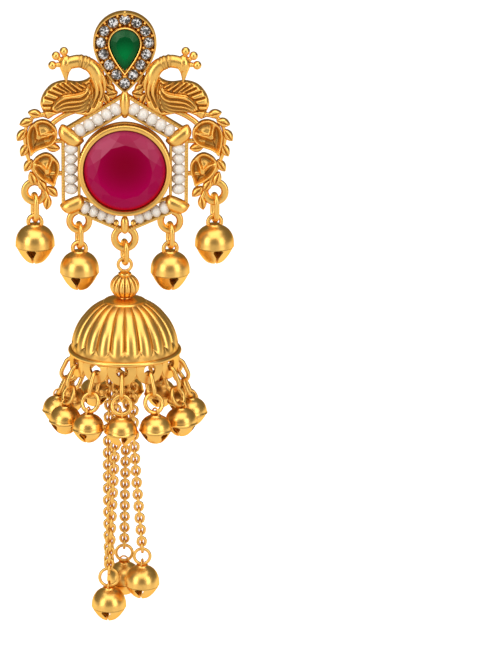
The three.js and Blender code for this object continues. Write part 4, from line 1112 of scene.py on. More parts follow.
BIRD_OUTLINE = [
    (0.04, 0.29), (0.0, 0.46), (0.03, 0.66), (0.06, 0.81), (0.25, 0.935), (0.4, 0.93),
    (0.52, 0.915), (0.69, 0.91), (0.8, 0.95), (0.885, 1.0), (0.94, 0.93), (0.97, 0.86),
    (1.0, 0.75), (0.945, 0.6), (0.82, 0.47), (0.64, 0.415), (0.47, 0.43), (0.37, 0.425),
    (0.28, 0.39), (0.21, 0.33), (0.12, 0.28),
]
NECK_LINE = [
    (0.125, 0.66), (0.11, 0.56), (0.115, 0.46), (0.125, 0.37), (0.15, 0.265),
    (0.235, 0.165), (0.38, 0.105), (0.52, 0.12), (0.605, 0.155),
]
NECK_LEVEL = 1.7
NECK_BANDS = (0.645, 0.69, 0.75)
NECK_GROOVES = (0.622, 0.667, 0.713, 0.728, 0.773)
HEAD = (0.61, 0.145)
BROW = [(0.65, 1.2), (0.95, 0.4), (0.8, -0.6), (0.2, -1.35)]  # millimetres from the head
CREST_BEADS = [(0.635, -0.05), (0.755, 0.02), (0.81, 0.165)]
WING = [
    (0.253, 0.44), (0.302, 0.529), (0.38, 0.569), (0.536, 0.599), (0.652, 0.62),
    (0.75, 0.691), (0.8, 0.771), (0.818, 0.85), (0.66, 0.9), (0.42, 0.9), (0.282, 0.83),
    (0.234, 0.7), (0.224, 0.569),
]
WING_CUTS = [
    [(0.25, 0.53), (0.29, 0.6), (0.38, 0.665), (0.536, 0.68), (0.672, 0.721), (0.77, 0.81)],
    [(0.24, 0.62), (0.27, 0.68), (0.35, 0.73), (0.479, 0.751), (0.625, 0.771), (0.74, 0.838)],
    [(0.25, 0.7), (0.3, 0.755), (0.38, 0.798), (0.502, 0.822), (0.64, 0.84), (0.7, 0.87)],
    [(0.27, 0.77), (0.319, 0.82), (0.411, 0.862), (0.518, 0.877), (0.62, 0.885)],
]
BREAST_CUTS = [
    [(0.195, 0.35), (0.127, 0.468), (0.105, 0.569), (0.135, 0.691), (0.19, 0.8)],
    [(0.225, 0.4), (0.18, 0.529), (0.18, 0.64), (0.225, 0.77), (0.28, 0.87)],
    [(0.185, 0.27), (0.078, 0.368), (0.035, 0.488), (0.044, 0.569), (0.08, 0.69)],
]
QUILLS = [
    ((0.828, 0.857), (0.945, 0.861)), ((0.818, 0.776), (0.95, 0.781)),
    ((0.779, 0.695), (0.92, 0.661)), ((0.692, 0.629), (0.865, 0.569)),
    ((0.634, 0.58), (0.79, 0.514)), ((0.565, 0.569), (0.73, 0.468)),
    ((0.487, 0.58), (0.65, 0.449)), ((0.409, 0.559), (0.57, 0.435)),
    ((0.34, 0.518), (0.49, 0.43)), ((0.302, 0.468), (0.41, 0.425)),
]
BREAST_RIDGES = [
    [(0.27, 0.17), (0.181, 0.284), (0.09, 0.427), (0.067, 0.585), (0.105, 0.711)],
    [(0.24, 0.28), (0.151, 0.442), (0.136, 0.585), (0.181, 0.727)],
    [(0.12, 0.2), (0.04, 0.34), (0.015, 0.47), (0.03, 0.6)],
]
# The bud leaves between a bird and the crest: place and angle
BUDS = [(-0.06, 0.53, 60), (0.0, 0.69, 25), (-0.03, 0.42, 20), (-0.09, 0.62, 100)]


def on_bird(out, down):
    """A place (x, z) of the left bird: (-x0 - out L, z0 - down H)."""
    return np.array([-BIRD_X - out * BIRD_LENGTH, BIRD_TOP - down * BIRD_HEIGHT])


def bird_line(places, count, closed=False):
    """A smooth line through places of the left bird."""
    return spline([on_bird(*place) for place in places], count, closed)


def almond(length, width, place, degrees, level=SPRAY_LEVEL):
    """A small leaf: half width w sin(pi t)^0.75 along its length, crowned, with a crease down
    its middle, darkened with painted shade."""
    t = np.linspace(0, 1, 22)
    half = width / 2 * np.sin(math.pi * t) ** 0.75
    side = np.stack([half, (0.5 - t) * length], 1)
    outline = even(np.vstack([side, side[::-1][1:-1] * [-1, 1]]), 56, closed=True)

    def form(points, gap):
        x = points[:, 0]
        crease = 0.3 * np.exp(-((x / 0.13) ** 2)) * np.clip(gap / 0.25, 0, 1)
        return level + 0.75 - crease, 0.55 * np.exp(-((x / 0.1) ** 2)) * (gap > 0)

    grid, mark = relief(outline, (0, 0), form, level - 0.45, edge=0.6, rows=14, wall=3)
    return moved(grid, (place[0], 0, place[1]), -math.radians(degrees)), mark


def inside_of(points, outline):
    """Whether each point lies in a closed outline: whether the turns to its corners, seen
    from the point, add up to a whole turn."""
    reach = outline[None] - points[:, None]
    turns = np.arctan2(reach[..., 1], reach[..., 0])
    turns = np.diff(np.unwrap(np.hstack([turns, turns[:, :1]]), axis=1), axis=1).sum(1)
    return np.abs(turns) > math.pi


def bird_body():
    """Body, wing and tail of the left bird as one relief: a body 0.55 sqrt(d / 2.4) high at
    the distance d from the outline, a raised wing, and cuts between the feathers."""
    depth = stud().groove_depth / MM
    wing = bird_line(WING, 80, closed=True)
    wing_cuts = [bird_line(row, 40) for row in WING_CUTS]
    breast_cuts = [bird_line(row, 40) for row in BREAST_CUTS]
    quills = [even([on_bird(*a), on_bird(*b)], 8) for a, b in QUILLS]

    def form(points, gap):
        off_wing = apart(points, wing, closed=True)
        on_wing = inside_of(points, wing)
        raised = np.where(on_wing, 0.45 * smooth_step(off_wing / 0.4), 0.0)
        cut = sum(ridge(points, line, 0.25) for line in wing_cuts) * on_wing
        cut = cut + np.where(on_wing, 0, 0.75 * np.exp(-((off_wing / 0.2) ** 2)))
        cut = cut + sum(ridge(points, line, 0.24) for line in breast_cuts) * ~on_wing
        cut = cut + sum(ridge(points, line, 0.2) for line in quills) * ~on_wing
        cut = np.clip(cut, 0, 1)
        dome = 0.55 * np.sqrt(np.clip(gap / 2.4, 0, 1))
        # Painted shade darkens the cuts between the feathers and round the wing.
        return 2.0 + dome + raised - depth * cut, 0.75 * cut**2

    outline = bird_line(BIRD_OUTLINE, 300, closed=True)
    return relief(outline, on_bird(0.38, 0.66), form, 0.4, edge=0.6, rows=60, wall=5)


def bird_neck():
    """The neck, thickest at the breast and banded under the head, and the painted shade in its
    grooves.
    """
    count = 70
    t = np.linspace(0, 1, count)
    radius = stud().neck_radius / MM * (1.2 - 0.26 * t) * smooth_step(0.3 + t / 0.35)
    bands = sum(np.exp(-(((t - at) / 0.018) ** 2)) for at in NECK_BANDS)
    grooves = sum(np.exp(-(((t - at) / 0.014) ** 2)) for at in NECK_GROOVES)
    sunk = 1 - smooth_step(t / 0.42)
    path = facing(bird_line(NECK_LINE, count), NECK_LEVEL - sunk)
    return wire(path, radius * (1 + 0.07 * bands - 0.05 * grooves), 22), 0.6 * grooves[:, None]


def bird_head(shells):
    """Adds the left bird's head, brow, eye and beak, and its crest of beads on wires."""
    middle = on_bird(*HEAD)
    x, z = middle
    level = NECK_LEVEL
    shells.add(bead((x + 0.05, -level, z), 1.0, (1.12, 1.15, 1.55), 24, 16))
    brow = spline(BROW + middle, 24)
    shells.add(wire(facing(brow, level + 0.68), 0.2 * np.sin(np.linspace(0.15, 3.0, 24)), 10))
    shells.add(bead((x + 0.2, -level - 1.08, z + 0.05), 0.2, sides=12, rows=8), recess=0.3)
    t = np.linspace(0, 1, 14)
    beak = bend((x, z - 1.0), (x - 0.05, z - 2.1), (x + 0.2, z - 3.35), len(t))
    shells.add(wire(facing(beak, level), 0.86 * (1 - 0.93 * t**0.8), 14))
    for place in CREST_BEADS:
        end = on_bird(*place)
        shells.add(bead((end[0], -level, end[1]), 0.73, sides=20, rows=12))
        for share, radius in ((0.42, 0.48), (0.56, 0.44), (0.7, 0.4)):
            x, z = middle + (end - middle) * share
            shells.add(bead((x, -level, z), radius, sides=12, rows=8))
        shells.add(wire(facing(np.linspace(middle, end, 4), level), 0.2, 8))


def peacock():
    """One bird, facing outwards on the left: body, neck, head, beak, crest and buds."""
    shells = Shells()
    for grid, mark in (bird_body(), bird_neck()):
        shells.add(grid, recess=mark)
    share = np.linspace(0, 1, 44)
    for row in BREAST_RIDGES:
        height = 2.66 - 0.55 * share**1.5 - 0.35 * (1 - share) ** 4
        thick = 0.34 * np.sin(math.pi * (0.04 + 0.92 * share))
        shells.add(wire(facing(bird_line(row, len(share)), height), thick, 12))
    bird_head(shells)
    # Painted shade: the bud leaves sit in the shade between bird and crest, darker still in
    # their creases.
    for out, down, degrees in BUDS:
        grid, mark = almond(2.1, 1.7, on_bird(out, down), degrees, level=0.9)
        shells.add(grid, recess=0.25 + mark)
    return shells


class JHUMKA_OT_peacocks(Operator):
    """The two peacocks beside the crest"""

    bl_idname = "jhumka.peacocks"
    bl_label = "Peacocks"

    def execute(self, context):
        both_sides("peacock", peacock())
        return {"FINISHED"}


# Leaf sprays: places are shares of the reach beyond the hexagon and of the spray's height;
# the angle says where a leaf's tip points, in degrees from straight down

SMALL_LEAVES = [
    (0.62, 0.0, 78), (0.83, 0.095, -72), (0.95, 0.235, -36), (0.88, 0.4, -28), (0.2, 0.372, 82),
    (0.79, 0.57, -33), (0.69, 0.715, 19), (0.46, 0.79, 31), (0.22, 0.86, 46), (0.34, 0.985, -8),
]
UPPER_LEAF = {
    "outline": [
        (0.617, 0.087), (0.716, 0.122), (0.784, 0.169), (0.819, 0.233), (0.81, 0.298),
        (0.792, 0.355), (0.761, 0.409), (0.728, 0.461), (0.64, 0.423), (0.534, 0.394),
        (0.397, 0.373), (0.261, 0.348), (0.17, 0.312), (0.101, 0.262), (0.091, 0.205),
        (0.132, 0.147), (0.215, 0.104), (0.321, 0.074), (0.443, 0.063), (0.541, 0.072),
    ],
    "centre": (0.488, 0.235),
    "folds": [
        [(0.61, 0.1), (0.587, 0.162), (0.549, 0.25)],
        [(0.549, 0.256), (0.397, 0.238), (0.21, 0.212)],
    ],
    "creases": [[(0.56, 0.27), (0.7, 0.43)], [(0.5, 0.232), (0.39, 0.222), (0.24, 0.214)]],
}
LOWER_LEAF = {
    "outline": [
        (0.685, 0.53), (0.61, 0.48), (0.488, 0.444), (0.367, 0.43), (0.245, 0.448),
        (0.154, 0.484), (0.071, 0.534), (0.041, 0.591), (0.056, 0.649), (0.109, 0.713),
        (0.162, 0.792), (0.276, 0.772), (0.397, 0.743), (0.519, 0.7), (0.61, 0.65),
        (0.667, 0.598), (0.69, 0.563),
    ],
    "centre": (0.336, 0.6),
    "folds": [
        [(0.64, 0.548), (0.488, 0.575), (0.345, 0.64)],
        [(0.215, 0.482), (0.261, 0.548), (0.335, 0.645)],
    ],
    "creases": [[(0.325, 0.66), (0.18, 0.76)], [(0.6, 0.562), (0.49, 0.585), (0.4, 0.618)]],
}
SPRAY_BARS = [(0.4, 0.3), (0.4, 0.66)]  # where the bars from the hexagon end
STEM_LINE = [(0.36, 0.0), (0.7, 0.05), (0.86, 0.22), (0.78, 0.5), (0.5, 0.76), (0.34, 0.92)]


def on_spray(out, down):
    """A place (x, z) of the left spray: (-h - out R, z0 - down H), h half the hexagon."""
    return np.array([-HEX_HALF - out * SPRAY_REACH, SPRAY_TOP - down * SPRAY_HEIGHT])


def spray_line(places, count, closed=False):
    """A smooth line through places of the left spray."""
    return spline([on_spray(*place) for place in places], count, closed)


def big_leaf(outline, centre, folds, creases):
    """A cupped leaf: a thin rim, a bowl that falls from it and rises again in the middle, and
    two folds that meet in a V."""
    raised_lines = [spray_line(row, 30) for row in folds]
    sunk_lines = [spray_line(row, 16) for row in creases]

    def form(points, gap):
        fold = np.clip(sum(ridge(points, line, 0.34) for line in raised_lines), 0, 1)
        bowl = smooth_step((gap - 0.12) / 0.75)
        valley = np.exp(-(((gap - 0.95) / 0.28) ** 2)) * (1 - fold)
        heart = smooth_step((gap - 1.1) / 0.7)
        crease = np.clip(sum(ridge(points, line, 0.09) for line in sunk_lines), 0, 1) * bowl
        # Painted shade in the valley, down the sides of the bowl and in the creases.
        dark = np.clip(0.65 * valley + 0.3 * bowl * (1 - fold) + 0.45 * crease, 0, 1)
        height = 2.05 - 0.85 * bowl - 0.12 * valley + 0.2 * heart
        return height + 0.7 * fold * bowl - 0.16 * crease, dark * 0.8

    edge_line, middle = spray_line(outline, 190, closed=True), on_spray(*centre)
    # The wall gets painted shade too.
    return relief(edge_line, middle, form, 0.5, edge=0.25, rows=44, wall=4, wall_dark=0.35)


def leaf_spray():
    """One spray, on the left: stem, two big leaves, small leaves and the bars that hold it."""
    shells = Shells()
    radius = stud().stem_radius / MM
    stem = spray_line(STEM_LINE, 60)
    knotty = 1 + 0.15 * np.sin(np.linspace(0, 40, len(stem)))
    shells.add(wire(facing(stem, SPRAY_LEVEL), radius * knotty, 12))
    foot = on_bird(0.885, 0.96)
    top = on_spray(*STEM_LINE[0])
    strut = bend(foot, (foot + top) / 2 + [-0.6, 0], top, 12)
    shells.add(wire(facing(strut, SPRAY_LEVEL), radius * 1.25, 12))
    tail = bend(on_bird(0.45, 0.87), on_bird(0.66, 0.93), on_spray(0.2, 0.1), 16)
    shells.add(wire(facing(tail, SPRAY_LEVEL + 0.2), radius * 1.3, 12))
    for place in SPRAY_BARS:
        x, z = on_spray(*place)
        bar = np.linspace((x, z), (-HEX_HALF + 0.1, z), 6)
        shells.add(wire(facing(bar, SPRAY_LEVEL - 0.2), 0.42, 12))
    for out, down, degrees in SMALL_LEAVES:
        grid, mark = almond(2.45, 1.5, on_spray(out, down), degrees)
        shells.add(grid, recess=mark)
    for leaf in (UPPER_LEAF, LOWER_LEAF):
        grid, mark = big_leaf(**leaf)
        shells.add(grid, recess=mark)
    return shells


class JHUMKA_OT_leaf_sprays(Operator):
    """The two leaf sprays beside the hexagon"""

    bl_idname = "jhumka.leaf_sprays"
    bl_label = "Leaf sprays"

    def execute(self, context):
        both_sides("leaf_spray", leaf_spray())
        return {"FINISHED"}


class JHUMKA_OT_post(Operator):
    """The pin at the back, with its pad and groove"""

    bl_idname = "jhumka.post"
    bl_label = "Ear post"

    def execute(self, context):
        # Radius and distance from the back of the stud: pad, pin and groove
        rows = [
            (0, 0), (1.5, 0), (1.6, 0.08), (1.6, 0.42), (1.5, 0.5), (0.62, 0.52), (0.45, 0.7),
            (0.45, 9.0), (0.33, 9.25), (0.33, 9.55), (0.45, 9.8), (0.45, 10.6), (0.36, 10.88),
            (0.2, 10.98), (0, 11.0),
        ]
        # Painted shade in the pin's groove.
        dark = [0.6 if 9.1 < h < 9.7 else 0.0 for _, h in rows]
        grid = turned([(r, -h) for r, h in rows], 28, "y")
        shells = Shells().add(grid, recess=np.array(dark)[:, None])
        gold_piece("post_and_pad", shells, "stud", "ear_post")
        return {"FINISHED"}


# Bells. Heights are counted from the widest line, above it the top, below it the low end and
# the seam; the flange is how far the seam stands out. Each bell hangs turned a little.

BELL_TURN = 0.2
STUD_BELL = {"radius": 3.3, "top": 2.75, "low": 3.75, "seam": 0.65, "flange": 0.02}
FRINGE_BELL = {"radius": 2.68, "top": 2.1, "low": 2.65, "seam": 0.3, "flange": 0.13}
TASSEL_BELL = {"radius": 3.0, "top": 2.75, "low": 2.94, "seam": 0.35, "flange": 0.02}
UPPER_BELL = [
    (1.0, 0.0), (0.975, 0.22), (0.9, 0.48), (0.765, 0.72), (0.61, 0.88), (0.46, 0.98),
    (0.365, 1.05), (0.335, 1.12),
]
LOWER_BELL = [
    (0.0, 1.0), (0.24, 0.985), (0.43, 0.91), (0.6, 0.76), (0.77, 0.55), (0.925, 0.3),
]


def bell_profile(radius, top, low, seam, flange):
    """Bottom to top: a rounded cone and a shouldered top, both smooth lines through a few
    chosen shares of the radius and height, with the seam's small roll between them."""
    lower = np.array([*LOWER_BELL, (0.98, (seam + 0.16) / low)]) * [radius, -low]
    upper = np.array(UPPER_BELL) * [radius, top]
    roll = [
        (0.98 * radius, -seam - 0.11), (radius + flange, -seam - 0.08),
        (radius + flange, -seam + 0.04), (radius + 0.4 * flange, -seam + 0.13),
    ]
    return np.vstack([spline(lower, 20), roll, spline(upper, 22)])


def bell(sizes, cross=False, sides=44):
    """A hollow bell with its slot: a rounded opening under the seam in front and behind, and
    the slit that joins them through the bottom. A crossed bell has a second slot at right
    angles to the first."""
    radius, low, seam = (sizes[k] for k in ("radius", "low", "seam"))
    rows = bell_profile(**sizes)
    # Painted shade in the crease under the seam's roll.
    groove = np.zeros((len(rows), 1))
    groove[19:21] = 0.7  # the last row under the seam's roll and the first one on it
    body = Shells().add(turned(rows, sides), recess=groove)
    few_rows = [0, 6, 10, 14, 19, 24, 30, 36, 41]
    hollow = rows[few_rows] * [1, 0.9]
    hollow[:, 0] = np.maximum(hollow[:, 0] - hanging().bell_wall / MM, 0)
    # The hollow and the slots leave painted shade on the bell's inside faces.
    cutters = [Shells().add(turned(hollow, 24), recess=1.0)]
    half, slit, corner = 0.27 * radius, 0.2, 0.28
    mouth = -seam - 0.22
    waist = mouth - 0.5 * (low - seam)
    side = np.array(
        [(half - corner, mouth), (half, mouth - corner), (half - 0.1, mouth - 0.5),
         (slit, waist), (slit, -2 * low)]
    )
    slot = np.vstack([side * [-1, 1], side[::-1]])
    reach = 2 * radius
    prism = np.stack([facing(slot, -reach), facing(slot, reach)])
    cutters.append(Shells().add(prism, recess=0.8))
    if cross:
        cutters.append(Shells().add(moved(prism, turn=math.pi / 2, about="z"), recess=0.8))
    return carved(body, cutters)


def hung_link(name, body, solid):
    """Puts an oval link, seen nearly edge on from the front, in place of a solid link."""
    low, high = box_of(solid)
    flat = oval(high[2] - low[2], LINK_WIDTH, LINK_WIRE)
    grid = moved(flat, middle_of(solid), math.pi / 2 + LINK_TURN, "z")
    gold_piece(name, Shells().add(grid, loop=True), body, solid)


class JHUMKA_OT_stud_bells(Operator):
    """The four bells under the stud and their links"""

    bl_idname = "jhumka.stud_bells"
    bl_label = "Bells of the stud"

    def execute(self, context):
        plain = bell(STUD_BELL)
        plain.add(ring(1.5, 0.72, (0, 0, STUD_BELL["top"] + 0.65)), loop=True)
        for i in range(1, 5):
            hung_link("oval_link_%d" % i, "stud", "stud_link_%d" % i)
            solid = "stud_bell_%d" % i
            x, y, _ = middle_of(solid)
            z = box_of(solid)[0][2] + STUD_BELL["low"]
            hung = Shells().join(plain, (x, y, z), math.copysign(BELL_TURN, x))
            gold_piece("slotted_bell_%d" % i, hung, "stud", solid)
        hung_link("dome_link", "swing_link", "swing_link")
        return {"FINISHED"}


# Dome: outer sizes from the eye down to the ring inside it, then the heights that follow
# from them, where FUSE is how deep one form sinks into the next

EYE_RADIUS, EYE_WIRE = 1.4, 0.56
BALL_RADIUS, BALL_HEIGHT = 2.5, 4.2
COLLAR_RADIUS, COLLAR_HEIGHT = 1.1, 0.32
CAP_RADIUS, CAP_THICK = 3.5, 0.3
DOME_RADIUS, DOME_HEIGHT, DOME_WALL = 9.1, 8.6, 0.7
RIM_RADIUS, RIM_WIRE = 9.65, 0.8
HOOK_RADIUS, HOOK_WIRE, HOOK_DROP = 2.3, 0.7, 1.9
FUSE = 0.1
EYE_Z = box_of("jhumka_dome")[1][2] - EYE_RADIUS
BALL_Z = EYE_Z - EYE_RADIUS - COLLAR_HEIGHT + FUSE - BALL_HEIGHT / 2
CAP_Z = BALL_Z - BALL_HEIGHT / 2 - COLLAR_HEIGHT + FUSE
RIM_Z = CAP_Z - CAP_THICK - DOME_HEIGHT
HOOK_Z = RIM_Z + DOME_HEIGHT - DOME_WALL - HOOK_DROP
SCALLOP_LINE = RIM_RADIUS - RIM_WIRE / 2 - 0.275
SCALLOP_RADIUS, SCALLOP_HOLE, SCALLOP_THICK, SCALLOP_DROP = 2.5, 1.02, 0.55, 1.15
FRINGE_COUNT, FRINGE_TURN = 12, -0.05


def fringe_turn(i):
    """How far scallop i and its drop are turned from the front: f + 2 pi i / n."""
    return FRINGE_TURN + TURN * i / FRINGE_COUNT


def lobes(count, sides, deep):
    """Rounded ribs side by side, deep at the cuts between them, with a cut at the front: for
    s from -1 to 1 across a rib, d (sqrt(1 - 0.93 s^2) - 1) / 0.74. Gives s too."""
    a = np.linspace(0, 1, sides, endpoint=False)
    s = 2 * ((a * count) % 1) - 1
    return deep * (np.sqrt(np.clip(1 - 0.93 * s**2, 0, 1)) - 1) / 0.74, s


def dome_shell():
    """The dome and how dark it is painted: a radius R cos t and a height H sin t, its flutes
    ended in round scallops over a plain flange, and a smooth inside."""
    count, rows = hanging().flutes, 60
    sides = 22 * count
    full = math.acos(CAP_RADIUS / DOME_RADIUS)
    rise = DOME_HEIGHT / math.sin(full)
    t = np.linspace(0.0, full, rows)[:, None]
    depth, s = lobes(count, sides, hanging().flute_depth / MM / DOME_RADIUS)
    flange, arch, fade, step = 0.075, 0.1, 0.07, 0.006
    start = flange + arch * s**2  # the arched line where the flutes end
    body = smooth_step((t - start) / fade)
    radius = DOME_RADIUS * np.cos(t) * (1 + depth * body + step * body)
    height = np.broadcast_to(rise * np.sin(t), radius.shape)
    a = np.linspace(0, TURN, sides, endpoint=False) - math.pi / 2
    outside = np.stack([radius * np.cos(a), radius * np.sin(a), height], -1)
    inner_t = np.linspace(1.12, 0.0, 24)
    inside = DOME_RADIUS - DOME_WALL
    rows_in = np.stack([inside * np.cos(inner_t), (rise - DOME_WALL) * np.sin(inner_t)], 1)
    hollow = [(0, DOME_HEIGHT - DOME_WALL), *rows_in[rows_in[:, 1] < DOME_HEIGHT - DOME_WALL]]
    low = [(inside, -0.2), (DOME_RADIUS, -0.2)]
    cap = [(CAP_RADIUS + 0.05, DOME_HEIGHT), (0, DOME_HEIGHT)]
    grid = np.concatenate([turned([*hollow, *low], sides), outside, turned(cap, sides)])
    mark = np.zeros(grid.shape[:2])
    edge = np.exp(-(((t - start) / 0.05) ** 2))
    groove = np.clip((np.abs(s) - 0.8) / 0.2, 0, 1) ** 2 * body
    begin = len(hollow) + 2
    # Painted shade: dark inside the dome, in the cuts between the flutes and along the line
    # where they end.
    mark[:len(hollow)] = 0.85
    mark[begin:begin + rows] = np.clip(0.7 * groove + 0.45 * edge, 0, 1)
    return grid, mark


def scallop():
    """A flat ring, cut off where the rim hides its top, with rounded edges. Rows run across
    its section, at (1 - s) times the outer line and s times the hole, and columns round it."""
    level = SCALLOP_DROP - 0.3
    angle = math.asin(level / SCALLOP_RADIUS)
    count = 64
    arc = circle(SCALLOP_RADIUS, count - 14, math.pi - angle, TURN + angle, closed=False)
    chord = np.linspace(arc[-1], arc[0], 16)[1:-1]
    outer = np.vstack([arc, chord])
    turn = np.unwrap(np.arctan2(outer[:, 1], outer[:, 0]))
    hole = SCALLOP_HOLE * np.stack([np.cos(turn), np.sin(turn)], 1)
    half = SCALLOP_THICK / 2
    rows = [
        (0, -half), (0, half - 0.14), (0.05, half - 0.04), (0.12, half), (0.9, half - 0.05),
        (0.97, half), (1.0, half - 0.1), (1.0, -half),
    ]
    grids = [facing(outer * (1 - share) + hole * share, height) for share, height in rows]
    return np.stack(grids)


def level_ring(outer, thick, height, steps, sides):
    """A level wire ring round the dome's middle line."""
    flat = circle(outer - thick / 2, steps)
    path = np.column_stack([flat, np.full(steps, height)])
    return wire(path, thick / 2, sides, closed=True, across=(0, 0, 1)) + [0, HANG_Y, 0]


class JHUMKA_OT_dome(Operator):
    """The dome with its eye, ribbed ball, cap, rim, scallops and the ring inside"""

    bl_idname = "jhumka.dome"
    bl_label = "Dome"

    def execute(self, context):
        shells = Shells()
        grid, mark = dome_shell()
        shells.add(grid + [0, HANG_Y, RIM_Z], recess=mark)
        shells.add(level_ring(RIM_RADIUS, RIM_WIRE, RIM_Z, 220, 16), loop=True)
        gold_piece("fluted_dome", shells, "drop", "jhumka_dome", sharp=50)

        crown = Shells()
        crown.add(ring(EYE_RADIUS, EYE_WIRE, (0, HANG_Y, EYE_Z), 48, 16), loop=True)
        sides = 20 * hanging().ball_ribs
        e = np.linspace(-math.pi / 2, math.pi / 2, 30)
        depth, s = lobes(hanging().ball_ribs, sides, 0.16)
        belt = np.cos(e)[:, None] ** 0.5
        ball = np.stack([BALL_RADIUS * np.cos(e) ** 0.85, BALL_HEIGHT / 2 * np.sin(e)], 1)
        grid = turned(ball, sides, factor=1 + depth * belt)
        # Painted shade in the cuts between the ribs.
        mark = np.clip((np.abs(s) - 0.7) / 0.3, 0, 1) ** 1.5
        crown.add(grid + [0, HANG_Y, BALL_Z], recess=mark)
        collar = [
            (0, -0.34), (0.8, -0.34), (COLLAR_RADIUS, -0.2), (COLLAR_RADIUS + 0.06, 0),
            (COLLAR_RADIUS, 0.2), (0.8, 0.34), (0, 0.34),
        ]
        for z in (BALL_Z + BALL_HEIGHT / 2, BALL_Z - BALL_HEIGHT / 2):
            crown.add(turned(collar, 40) + [0, HANG_Y, z])
        edge = CAP_RADIUS + 0.12
        cap = [
            (0, -0.6), (edge - 0.25, -0.6), (edge, -0.42), (edge + 0.04, -0.28),
            (edge - 0.05, -0.12), (edge - 0.25, 0.02), (2.9, 0.16), (2.2, 0.28), (1.5, 0.36),
            (1.0, 0.42), (0, 0.44),
        ]
        crown.add(turned(cap, 96) + [0, HANG_Y, CAP_Z - 0.1])
        gold_piece("ball_and_cap", crown, "drop", "jhumka_dome")

        edge = Shells()
        tab = Shells().add(scallop() + [0, -SCALLOP_LINE, -SCALLOP_DROP], loop=True)
        for i in range(FRINGE_COUNT):
            edge.join(tab, (0, HANG_Y, RIM_Z), fringe_turn(i))
        gold_piece("scalloped_edge", edge, "drop", "jhumka_dome")

        hook = Shells()
        hook.add(level_ring(HOOK_RADIUS, HOOK_WIRE, HOOK_Z, 48, 12), loop=True)
        thick, tall = HOOK_WIRE / 2, HOOK_DROP + 0.2
        for x in (thick - HOOK_RADIUS, HOOK_RADIUS - thick):
            leg = turned([(0, 0), (thick, 0), (thick, tall), (0, tall)], 14)
            hook.add(leg + [x, HANG_Y, HOOK_Z])
        gold_piece("chain_ring", hook, "drop", "jhumka_dome")
        return {"FINISHED"}


# Fringe: a link and a ring lean out from each scallop, and a bell hangs upright under them

FRINGE_LINK, FRINGE_LINK_WIDTH, FRINGE_WIRE = 4.8, 3.1, 0.74
FRINGE_RING, FRINGE_RING_WIRE = 1.95, 0.58
HANG_GAP, SMALL_EYE_DROP = 0.12, 0.25
BELL_GAP = 0.25  # between two bells of the fringe


def small_eye(top, wire_height):
    """The small eye on a bell: a ring seen from the side, round the wire that carries it."""
    outer = wire_height - top + 0.42
    grid = moved(ring(outer, 0.3, steps=24, sides=10), turn=math.pi / 2, about="z")
    return grid + [0, 0, wire_height]


def fringe_drop():
    """One drop of the fringe about the dome's rim, in front. Its link and ring lean out by
    asin(o / r), where o is how far the bells stand out over the scallops and r is how far
    the ring's foot hangs under the scallop's band, and its bell hangs upright."""
    pivot = -SCALLOP_HOLE - (SCALLOP_RADIUS - SCALLOP_HOLE) / 2
    link_top = -SCALLOP_HOLE + HANG_GAP + FRINGE_WIRE
    ring_top = link_top - FRINGE_LINK + FRINGE_WIRE - 2 * FUSE + FRINGE_RING_WIRE
    low_wire = ring_top - 2 * FRINGE_RING + FRINGE_RING_WIRE / 2
    widest = 2 * (FRINGE_BELL["radius"] + FRINGE_BELL["flange"]) + BELL_GAP
    bell_line = widest / (2 * math.sin(math.pi / FRINGE_COUNT))
    out = bell_line - SCALLOP_LINE
    lean = math.asin(out / (pivot - low_wire))
    link = oval(FRINGE_LINK, FRINGE_LINK_WIDTH, FRINGE_WIRE, 28, 10)
    link = moved(link, (0, 0, link_top - FRINGE_LINK / 2 - pivot), math.pi / 2, "z")
    hoop_place = (0, 0, ring_top - FRINGE_RING - pivot)
    hoop = ring(FRINGE_RING, FRINGE_RING_WIRE + 0.16, hoop_place, 32, 10)
    shells = Shells()
    for grid in (link, hoop):
        shells.add(moved(grid, turn=-lean, about="x"), loop=True)
    wire_height = FRINGE_BELL["top"] + SMALL_EYE_DROP + FRINGE_RING_WIRE / 2
    hung = bell(FRINGE_BELL, cross=True, sides=36)
    hung.add(small_eye(FRINGE_BELL["top"], wire_height), loop=True)
    centre = (low_wire - pivot) * math.cos(lean) - wire_height
    shells.join(hung, (0, -out, centre), BELL_TURN)
    return Shells().join(shells, (0, -SCALLOP_LINE, -SCALLOP_DROP + pivot))


class JHUMKA_OT_fringe(Operator):
    """The twelve small bells round the dome, each on its link and ring"""

    bl_idname = "jhumka.fringe"
    bl_label = "Fringe"

    def execute(self, context):
        one = fringe_drop()
        for i in range(FRINGE_COUNT):
            drop = Shells().join(one, (0, HANG_Y, RIM_Z), fringe_turn(i))
            name = "fringe_bell_%02d" % (i + 1)
            gold_piece(name, drop, "drop", "fringe_drop_%02d" % (i + 1))
        return {"FINISHED"}


# Tassel

TASSEL_WIRE = 0.56
# Each end ring and bell: x, y, middle height and radius of the ring, and turn of the bell
TASSEL_BELLS = [
    (-2.75, 0.0, -91.3, 1.88, 0.0), (-0.1, 4.9, -88.6, 1.7, 1.45), (3.0, -0.6, -87.2, 1.65, 0.0),
]
# Each chain: where it starts on the ring, in turns, its bell, how far aside it ends on that
# bell's ring, and a place on its way
CHAIN_ROUTES = [
    (0.42, 0, 1.1, (-2.85, 1.1, -66)), (0.66, 0, -1.1, (-1.65, -1.15, -66)),
    (0.13, 1, 0.0, (0.25, 1.9, -66)), (0.88, 2, 0.0, (1.6, -1.15, -66)),
]


